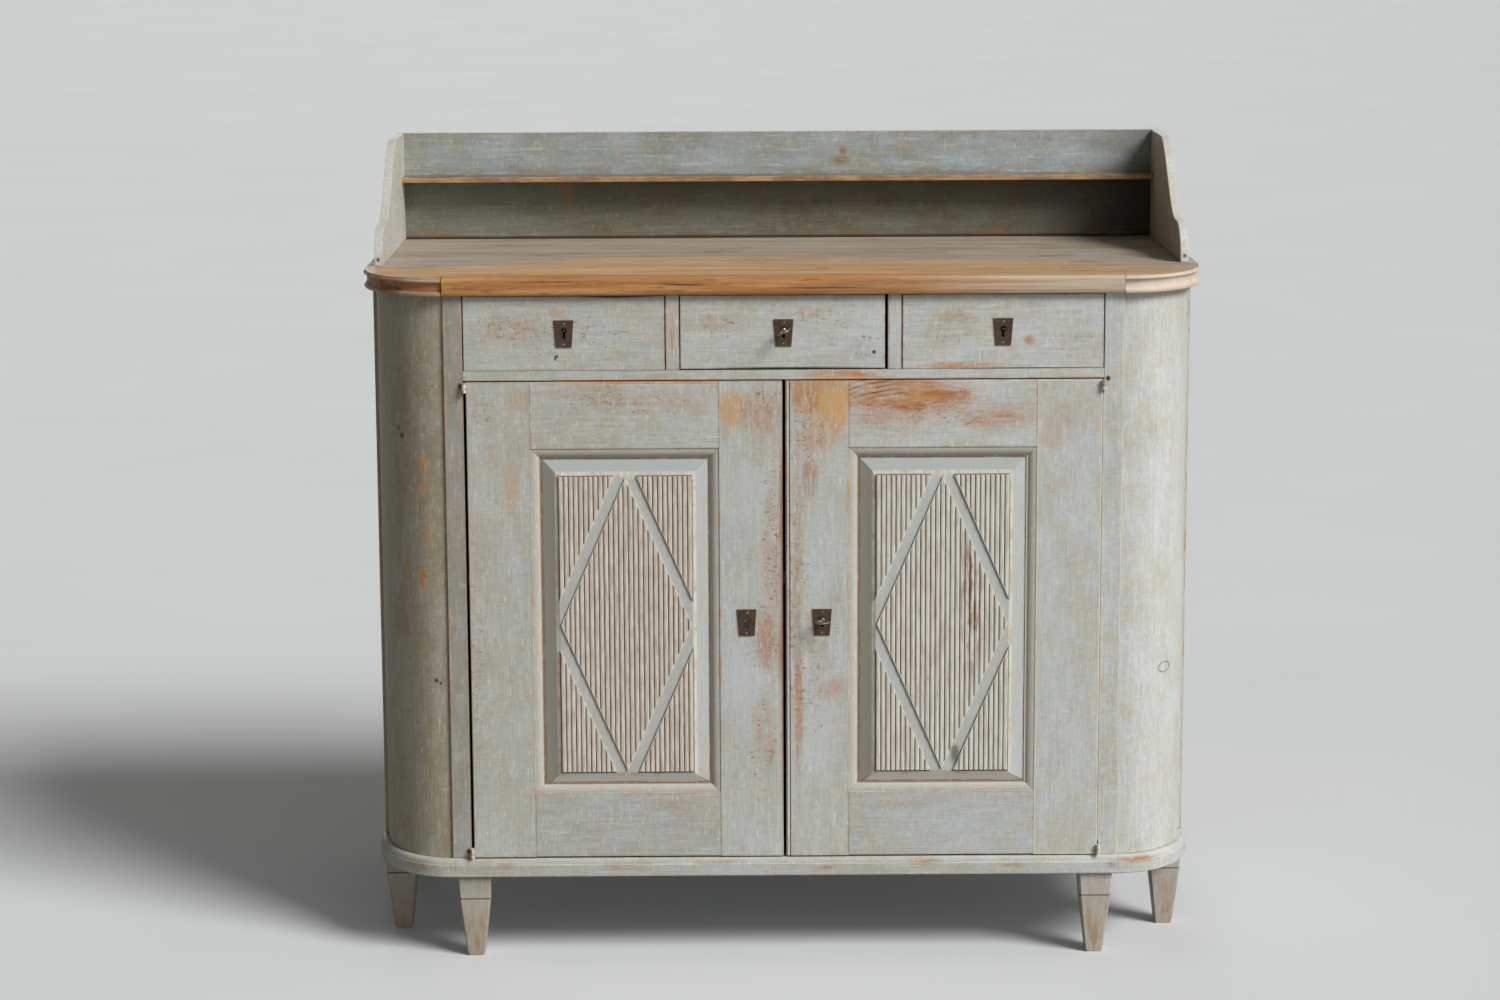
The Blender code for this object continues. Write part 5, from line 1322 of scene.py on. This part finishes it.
def reed_colour(f, wood, mottle, lines, ring):
    """Cream crests over grooves dark with old paint and painted shade, worn to wood in streaks."""
    x, y = f.axes()[:2]
    rubbed = f.plus(lines, f.times(f.fade(ring, 0.84, 0.50), 0.06))
    # Old paint and painted shade: the grooves are much darker than the crests.
    groove = f.blend(f.fade(rubbed, 0.44, 0.60), shade(86, 82, 74), shade(98, 69, 50))
    warm = f.blend(f.fade(lines, 0.36, 0.62), shade(212, 206, 195), shade(188, 176, 162))
    cool = f.blend(f.fade(lines, 0.40, 0.66), shade(212, 212, 204), shade(192, 186, 174))
    crest = f.blend(f.fade(f.plus(x, f.times(mottle, 0.3)), 0.10, 0.40), warm, cool)
    reeds = f.blend(f.fade(y, CREST + 0.0003, BED - 0.0010), crest, groove)
    worn = f.plus(rubbed, f.times(f.minus(mottle, 0.5), 0.5))
    reeds = f.blend(f.fade(worn, 0.65, 0.80, 0.0, 0.75), reeds, wood)
    smear = f.times(f.mark((0.266, -0.2565, 0.530), (0.020, 0.02, 0.15), 0.9), f.fade(lines, 0.42, 0.60))
    return f.blend(smear, reeds, shade(142, 98, 70))


def band_colour(f, middle, reeds, film, mottle, ring):
    """The flat band with painted highlights on its lit lips, painted shadow in its dark corners, and one old
    repair at the foot.
    """
    x, y = f.axes()[:2]
    band = f.times(f.fade(ring, 0.846, 0.850), f.fade(ring, 1.000, 0.996))
    flat = f.times(band, f.fade(y, BED - 0.0010, BED - 0.0005))
    to_right = f.fade(x, middle - 0.002, middle + 0.002)
    to_left = f.minus(1.0, to_right)
    lit_in = f.times(to_right, f.times(f.fade(ring, 0.830, 0.838), f.fade(ring, 0.850, 0.846)))
    lit_out = f.times(to_left, f.times(f.fade(ring, 0.995, 1.000), f.fade(ring, 1.016, 1.008)))
    reeds = f.blend(f.times(f.plus(lit_in, lit_out), 0.85), reeds, shade(224, 218, 205))
    reeds = f.blend(flat, reeds, f.blend(0.4, film, shade(182, 187, 188)))
    # Painted shadow in the band's corners beside its shaded walls.
    shadow_out = f.times(to_right, f.fade(ring, 0.984, 0.996))
    shadow_in = f.times(to_left, f.fade(ring, 0.862, 0.850))
    corner = f.times(flat, f.plus(shadow_out, shadow_in))
    reeds = f.blend(f.times(corner, 0.65), reeds, shade(122, 108, 92))
    repair = f.times(f.mark((0.2440, -0.2560, 0.302), (0.010, 0.02, 0.024), 0.9), f.fade(mottle, 0.36, 0.50))
    return f.blend(repair, reeds, shade(112, 108, 94))


print("lozenge", LOZENGE_WIDE * 2, "by", LOZENGE_TALL * 2)

# %% [markdown]
# The margin's four slopes catch the light differently, and each also gets a tone of its own as
# painted light and shade: olive and darker on the left, milky and paler below, blue-grey and
# darker above. A slope is found by asking which side is nearest. Then plate, reeds and lips are
# joined into one piece for each door.

# %% Paint the margin and set the panels
MARGIN_HALF, MARGIN_LOW, SLOPE = 0.1330, 0.2377, (0.042, 0.040)


def margin_colour(f, middle, film, mottle):
    """Grey slopes round the field, each in its own tone of painted light and shade."""
    x, _, z = f.axes()
    from_left, from_right = f.minus(x, middle - MARGIN_HALF), f.minus(middle + MARGIN_HALF, x)
    from_top, from_low = f.minus(OPEN_HIGH, z), f.minus(z, MARGIN_LOW)
    ends, sideways = f.least(from_top, from_low), f.least(from_left, from_right)
    cool = f.blend(f.fade(mottle, 0.44, 0.60), shade(180, 184, 182), shade(178, 185, 190))
    film = f.blend(0.55, film, cool)
    # Painted shade on the left slope; in the loop, painted light below and painted shade above.
    left_slope_shade = f.fade(f.minus(ends, from_left), -0.0004, 0.0004)
    film = f.blend(f.times(left_slope_shade, f.fade(from_left, *SLOPE, 0.0, 0.85)), film, shade(147, 144, 130))
    for gap, tone in ((from_low, shade(214, 212, 204)), (from_top, shade(170, 176, 177))):
        slope_light_and_shade = f.times(f.fade(f.minus(sideways, gap), -0.0004, 0.0004), f.fade(gap, *SLOPE))
        film = f.blend(f.times(slope_light_and_shade, 0.8), film, tone)
    return film


def reeded_paint(name, middle):
    """Cream on the rubbed crests, blue-grey and pinkish brown in the grooves, grey on the band."""
    f = Finish(name)
    where = f.on_board()
    wood, fibre = pine_wood(f, where, "Z")
    film, mottle, weave = paint_film(f, where, "Z")[:3]
    lines = f.noise(where, 0.0050, 5.0, 0.68, (1.0, 0.3, 0.14))
    y, ring = f.axes()[1], lozenge_level(f, middle)
    reeds = band_colour(f, middle, reed_colour(f, wood, mottle, lines, ring), film, mottle, ring)
    rise = f.times(f.fade(y, STEP + 0.0004, STEP - 0.0004), f.fade(lines, 0.34, 0.58, 0.4, 0.95))
    chamfer = f.blend(f.fade(mottle, 0.48, 0.62), shade(212, 208, 197), shade(200, 178, 154))
    colour = f.blend(rise, margin_colour(f, middle, film, mottle), chamfer)
    colour = f.blend(f.fade(y, BED + 0.0006, BED + 0.0001), colour, reeds)
    foot = f.times(f.fade(y, FOOT - 0.0007, FOOT - 0.0001), f.fade(mottle, 0.35, 0.6, 0.2, 0.7))
    colour = f.blend(foot, colour, GRIME)
    colour = f.blend(f.fade(y, FOOT + 0.0010, FOOT + 0.0020), colour, raw_pine(f, where, "Z"))
    f.relief(f.plus(fibre, weave), 0.4, 0.0006)
    return f.finish(colour, f.fade(mottle, 0.3, 0.7, 0.54, 0.76))


for label, side in (("left", -1), ("right", 1)):
    middle = side * PANEL_MIDDLE
    plate = panel_plate("reeded_panel_" + label, side)
    reeds = reed_row(middle)
    lips = [band_lip(middle, LIP), band_lip(middle, -BAND)]
    alone(plate, reeds, *lips)
    bpy.ops.object.join()
    plate = bpy.context.object
    smooth(plate, 40.0)
    mark_edges(plate)
    plate.data.materials.clear()
    plate.data.materials.append(reeded_paint("reeded_paint_" + label, middle))
    stand_for(plate, "door_panel_" + label)
    print(plate.name, len(plate.data.polygons), "faces")

# %% [markdown]
# The ironwork is small and old: keyhole plates wider at the top, lock cases behind the fronts,
# pin hinges at the door corners. Most of it is brown with rust and rubbed bright on its edges.
# The hinges were painted over with the cabinet, and the bolts and keys are dull steel.

# %% Rust the iron
def rusty_iron(name):
    """Brown iron with rust clouds and a dull gleam on the rubbed arrises."""
    f = Finish(name)
    where = f.on_board()
    cloud = f.noise(where, 0.006, 4.0, 0.6)
    grit = f.noise(where, 0.0012, 4.0, 0.65)
    colour = f.blend(f.fade(cloud, 0.36, 0.64), shade(94, 78, 64), shade(128, 92, 62))
    colour = f.blend(f.fade(grit, 0.52, 0.70), colour, shade(66, 52, 42))
    colour = f.blend(f.fade(f.edge(), 0.0, 0.0008, 0.6, 0.0), colour, shade(150, 138, 122))
    f.relief(grit, 0.6, 0.0004)
    return f.finish(colour, f.fade(grit, 0.3, 0.7, 0.42, 0.70), metal=0.55, specular=0.5)


def dull_steel(name):
    """Grey steel, tarnished in soft patches."""
    f = Finish(name)
    cloud = f.noise(f.on_board(), 0.005, 4.0, 0.6)
    colour = f.blend(f.fade(cloud, 0.38, 0.66), shade(158, 152, 142), shade(108, 92, 76))
    f.relief(cloud, 0.3, 0.0003)
    return f.finish(colour, f.fade(cloud, 0.3, 0.7, 0.32, 0.55), metal=0.9, specular=0.5)


def painted_iron(name):
    """Iron that was painted over with the cabinet: pale and rust-brown in patches, near-black behind the
    door's face as painted shade.
    """
    f = Finish(name)
    cloud = f.noise(f.on_board(), 0.006, 4.0, 0.6)
    colour = f.blend(f.fade(cloud, 0.42, 0.60), shade(216, 206, 192), shade(168, 132, 104))
    # Painted shade: near-black on the part that lies behind the door's face.
    colour = f.blend(f.fade(f.axes()[1], -0.2575, -0.2530, 0.0, 0.9), colour, shade(60, 42, 32))
    f.relief(cloud, 0.5, 0.0004)
    return f.finish(colour, 0.6)


iron, steel, soft_iron = rusty_iron("rusty_iron"), dull_steel("dull_steel"), painted_iron("painted_iron")
print("three metals ready")

# %% [markdown]
# A keyhole plate is darker than the rest, with painted shadow black round its hole and down its
# slot. The shadow is blackest where no key fills the hole. So every plate has a finish of its own,
# centred on its keyhole.

# %% Dress the ironwork
DOOR_KEYHOLE, DRAWER_KEYHOLE, PLATE_FACE = 0.499, 0.9135, -0.2545
OPEN_LOCKS = ("key_plate_drawer_left", "key_plate_drawer_right")
KEYHOLE_SHADOW = shade(14, 11, 10)


def plate_iron(name, x, z, keyhole_shade):
    """Dark rusty plate, with painted shadow black round its keyhole."""
    f = Finish(name)
    where = f.on_board()
    cloud = f.noise(where, 0.007, 4.0, 0.6)
    grit = f.noise(where, 0.0016, 4.0, 0.65)
    colour = f.blend(f.fade(cloud, 0.40, 0.62), shade(70, 56, 50), shade(94, 66, 50))
    colour = f.blend(f.fade(grit, 0.54, 0.70), colour, shade(58, 42, 34))
    colour = f.blend(f.fade(f.edge(), 0.0, 0.0012, 0.50, 0.0), colour, shade(118, 90, 68))
    # Painted shadow: black round the keyhole and down its slot.
    colour = f.blend(f.mark((x, PLATE_FACE, z), (0.0070, 0.02, 0.0072), keyhole_shade), colour, KEYHOLE_SHADOW)
    colour = f.blend(f.mark((x, PLATE_FACE, z - 0.0062), (0.0048, 0.02, 0.0110), keyhole_shade), colour, KEYHOLE_SHADOW)
    f.relief(grit, 0.6, 0.0004)
    return f.finish(colour, f.fade(grit, 0.3, 0.7, 0.45, 0.72), metal=0.35, specular=0.45)


def metal_of(node):
    """The finish that suits a piece of ironwork."""
    if node.startswith("key_plate"):
        low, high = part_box(node)
        level = DOOR_KEYHOLE if "door" in node else DRAWER_KEYHOLE
        keyhole_shade = 1.0 if node in OPEN_LOCKS else 0.8
        return plate_iron("iron_" + node, (low[0] + high[0]) / 2, level, keyhole_shade)
    if node.startswith("bolt"):
        return steel
    return soft_iron if node.startswith("hinge") else iron


iron_nodes = [n for n, s in slot_of_node.items() if s == "iron"]
for node in iron_nodes + ["bolt_door", "bolt_drawer"]:
    dress(node, "old_", metal_of(node), 0.0003)

# %% [markdown]
# Every keyhole plate is held by two small nails, above and below the hole. A nail head is a
# flattened half ball. The left and right drawers have a pin in the lock for a hollow key,
# and it catches the light in the dark keyhole. Nail and pin are modelled once and copied.

# %% Model a nail and a lock pin
def nail_head(radius, rise):
    """A domed head that looks to the front, its foot a hair inside the face it is driven into."""
    let_go()
    bpy.ops.mesh.primitive_uv_sphere_add(segments=14, ring_count=8, radius=radius)
    head = bpy.context.object
    head.scale = (1.0, rise / radius, 1.0)
    apply_all(head)
    edit_all(head)
    bpy.ops.mesh.bisect(plane_co=(0, 0.0002, 0), plane_no=(0, 1, 0), use_fill=True, clear_outer=True)
    close_edit()
    return head


def lock_pin(length, radius):
    """A round pin with a softened tip, its front end at the origin."""
    let_go()
    bpy.ops.mesh.primitive_cylinder_add(vertices=16, radius=radius, depth=length,
                                        location=(0, length / 2, 0), rotation=(radians(90), 0, 0))
    pin = bpy.context.object
    apply_all(pin)
    soften(pin, radius * 0.45, 3)
    return pin


nail, pin = nail_head(0.0017, 0.0006), lock_pin(0.0071, 0.0013)
print("nail head", len(nail.data.polygons), "faces, lock pin", len(pin.data.polygons), "faces")

# %% [markdown]
# The copies are set a little off the middle, as nails driven by hand are, and the lower one is
# smaller. The nails of a plate are joined, and they ride on what the plate is nailed to.

# %% Nail the plates on
UPPER, LOWER, LOWER_SIZE, PIN_BACK = (0.0006, 0.0050), (-0.0004, 0.0040), 0.82, 0.0004


def set_copy(model, place, size=1.0):
    """A copy of a small piece with a mesh of its own, set at a place."""
    piece = bpy.data.objects.new(model.name, model.data.copy())
    bpy.context.scene.collection.objects.link(piece)
    piece.location = place
    piece.scale = (size, size, size)
    apply_all(piece)
    return piece


for node in [n for n in iron_nodes if n.startswith("key_plate")]:
    low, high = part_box(node)
    x, front = (low[0] + high[0]) / 2, low[1]
    heads = [set_copy(nail, (x + UPPER[0], front, high[2] - UPPER[1])),
             set_copy(nail, (x + LOWER[0], front, low[2] + LOWER[1]), LOWER_SIZE)]
    if node in OPEN_LOCKS:
        heads.append(set_copy(pin, (x, front + PIN_BACK, DRAWER_KEYHOLE)))
    alone(*heads)
    bpy.ops.object.join()
    nails = bpy.context.object
    nails.name = nails.data.name = "nails_" + node
    smooth(nails, 40.0)
    mark_edges(nails)
    nails.data.materials.clear()
    nails.data.materials.append(steel)
    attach(nails, body_of_node[node])
for model in (nail, pin):
    bpy.data.objects.remove(model, do_unlink=True)
print("plates nailed on")

# %% [markdown]
# Two keys stay in their locks. A key is a ring, a turned shank with a collar and a flat bit.
# The collar is a stretch of the shank, cut off by bisecting and scaled out. The drawer's key
# hangs a little turned in its lock.

# %% Model the keys
BOW_RADIUS, BOW_WIRE, BOW_BACK, BOW_FLAT = 0.00855, 0.00193, 0.0105, 0.78
SHANK_RADIUS, SHANK_BACK, COLLAR = 0.0026, 0.0186, (0.0225, 0.0232, 0.0248, 0.0255)


def key_bow(x, y, z):
    """The ring that the fingers turn."""
    let_go()
    bpy.ops.mesh.primitive_torus_add(major_radius=BOW_RADIUS, minor_radius=BOW_WIRE, major_segments=40,
                                     minor_segments=14, location=(x, y, z))
    bow = bpy.context.object
    bow.scale = (1.0, 1.0, BOW_FLAT)
    apply_all(bow)
    return bow


def key_shank(x, z, front, back):
    """A round shank with a collar turned on it."""
    start = front + SHANK_BACK
    let_go()
    bpy.ops.mesh.primitive_cylinder_add(vertices=20, radius=SHANK_RADIUS, depth=back - front - SHANK_BACK,
                                        location=(x, (start + back) / 2, z), rotation=(radians(90), 0, 0))
    shank = bpy.context.object
    apply_all(shank)
    for cut in COLLAR:
        edit_all(shank)
        bpy.ops.mesh.bisect(plane_co=(x, front + cut, z), plane_no=(0, 1, 0))
        close_edit()
    edit_where(shank, "FACE", lambda face: front + COLLAR[1] < face.center.y < front + COLLAR[2])
    bpy.ops.transform.resize(value=(1.5, 1.0, 1.5), center_override=(x, front + 0.024, z))
    close_edit()
    return shank


def make_key(node, x, z, tilt):
    """A key along the depth: bow, shank with a collar, and a bit in the lock."""
    low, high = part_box(node)
    bow, shank = key_bow(x, low[1] + BOW_BACK, z), key_shank(x, z, low[1], high[1])
    bit = block("bit", (x - 0.0112, high[1] - 0.0082, z - 0.0012), (x - 0.001, high[1] - 0.0024, z + 0.0012))
    soften(bit, 0.0003)
    alone(bow, shank, bit)
    bpy.ops.object.join()
    made = bpy.context.object
    made.name = made.data.name = "old_" + node
    edit_all(made)
    bpy.ops.mesh.normals_make_consistent(inside=False)
    bpy.ops.transform.rotate(value=radians(tilt), orient_axis="Y", center_override=(x, 0.0, z))
    close_edit()
    smooth(made, 40.0)
    mark_edges(made)
    made.data.materials.clear()
    made.data.materials.append(steel)
    stand_for(made, node)
    print(made.name, [round(c, 4) for c in made.dimensions],
          "solid", [round(b - a, 4) for a, b in zip(low, high)])


make_key("key_door", 0.0535, DOOR_KEYHOLE, 0.0)
make_key("key_drawer", 0.0, DRAWER_KEYHOLE, 26.0)
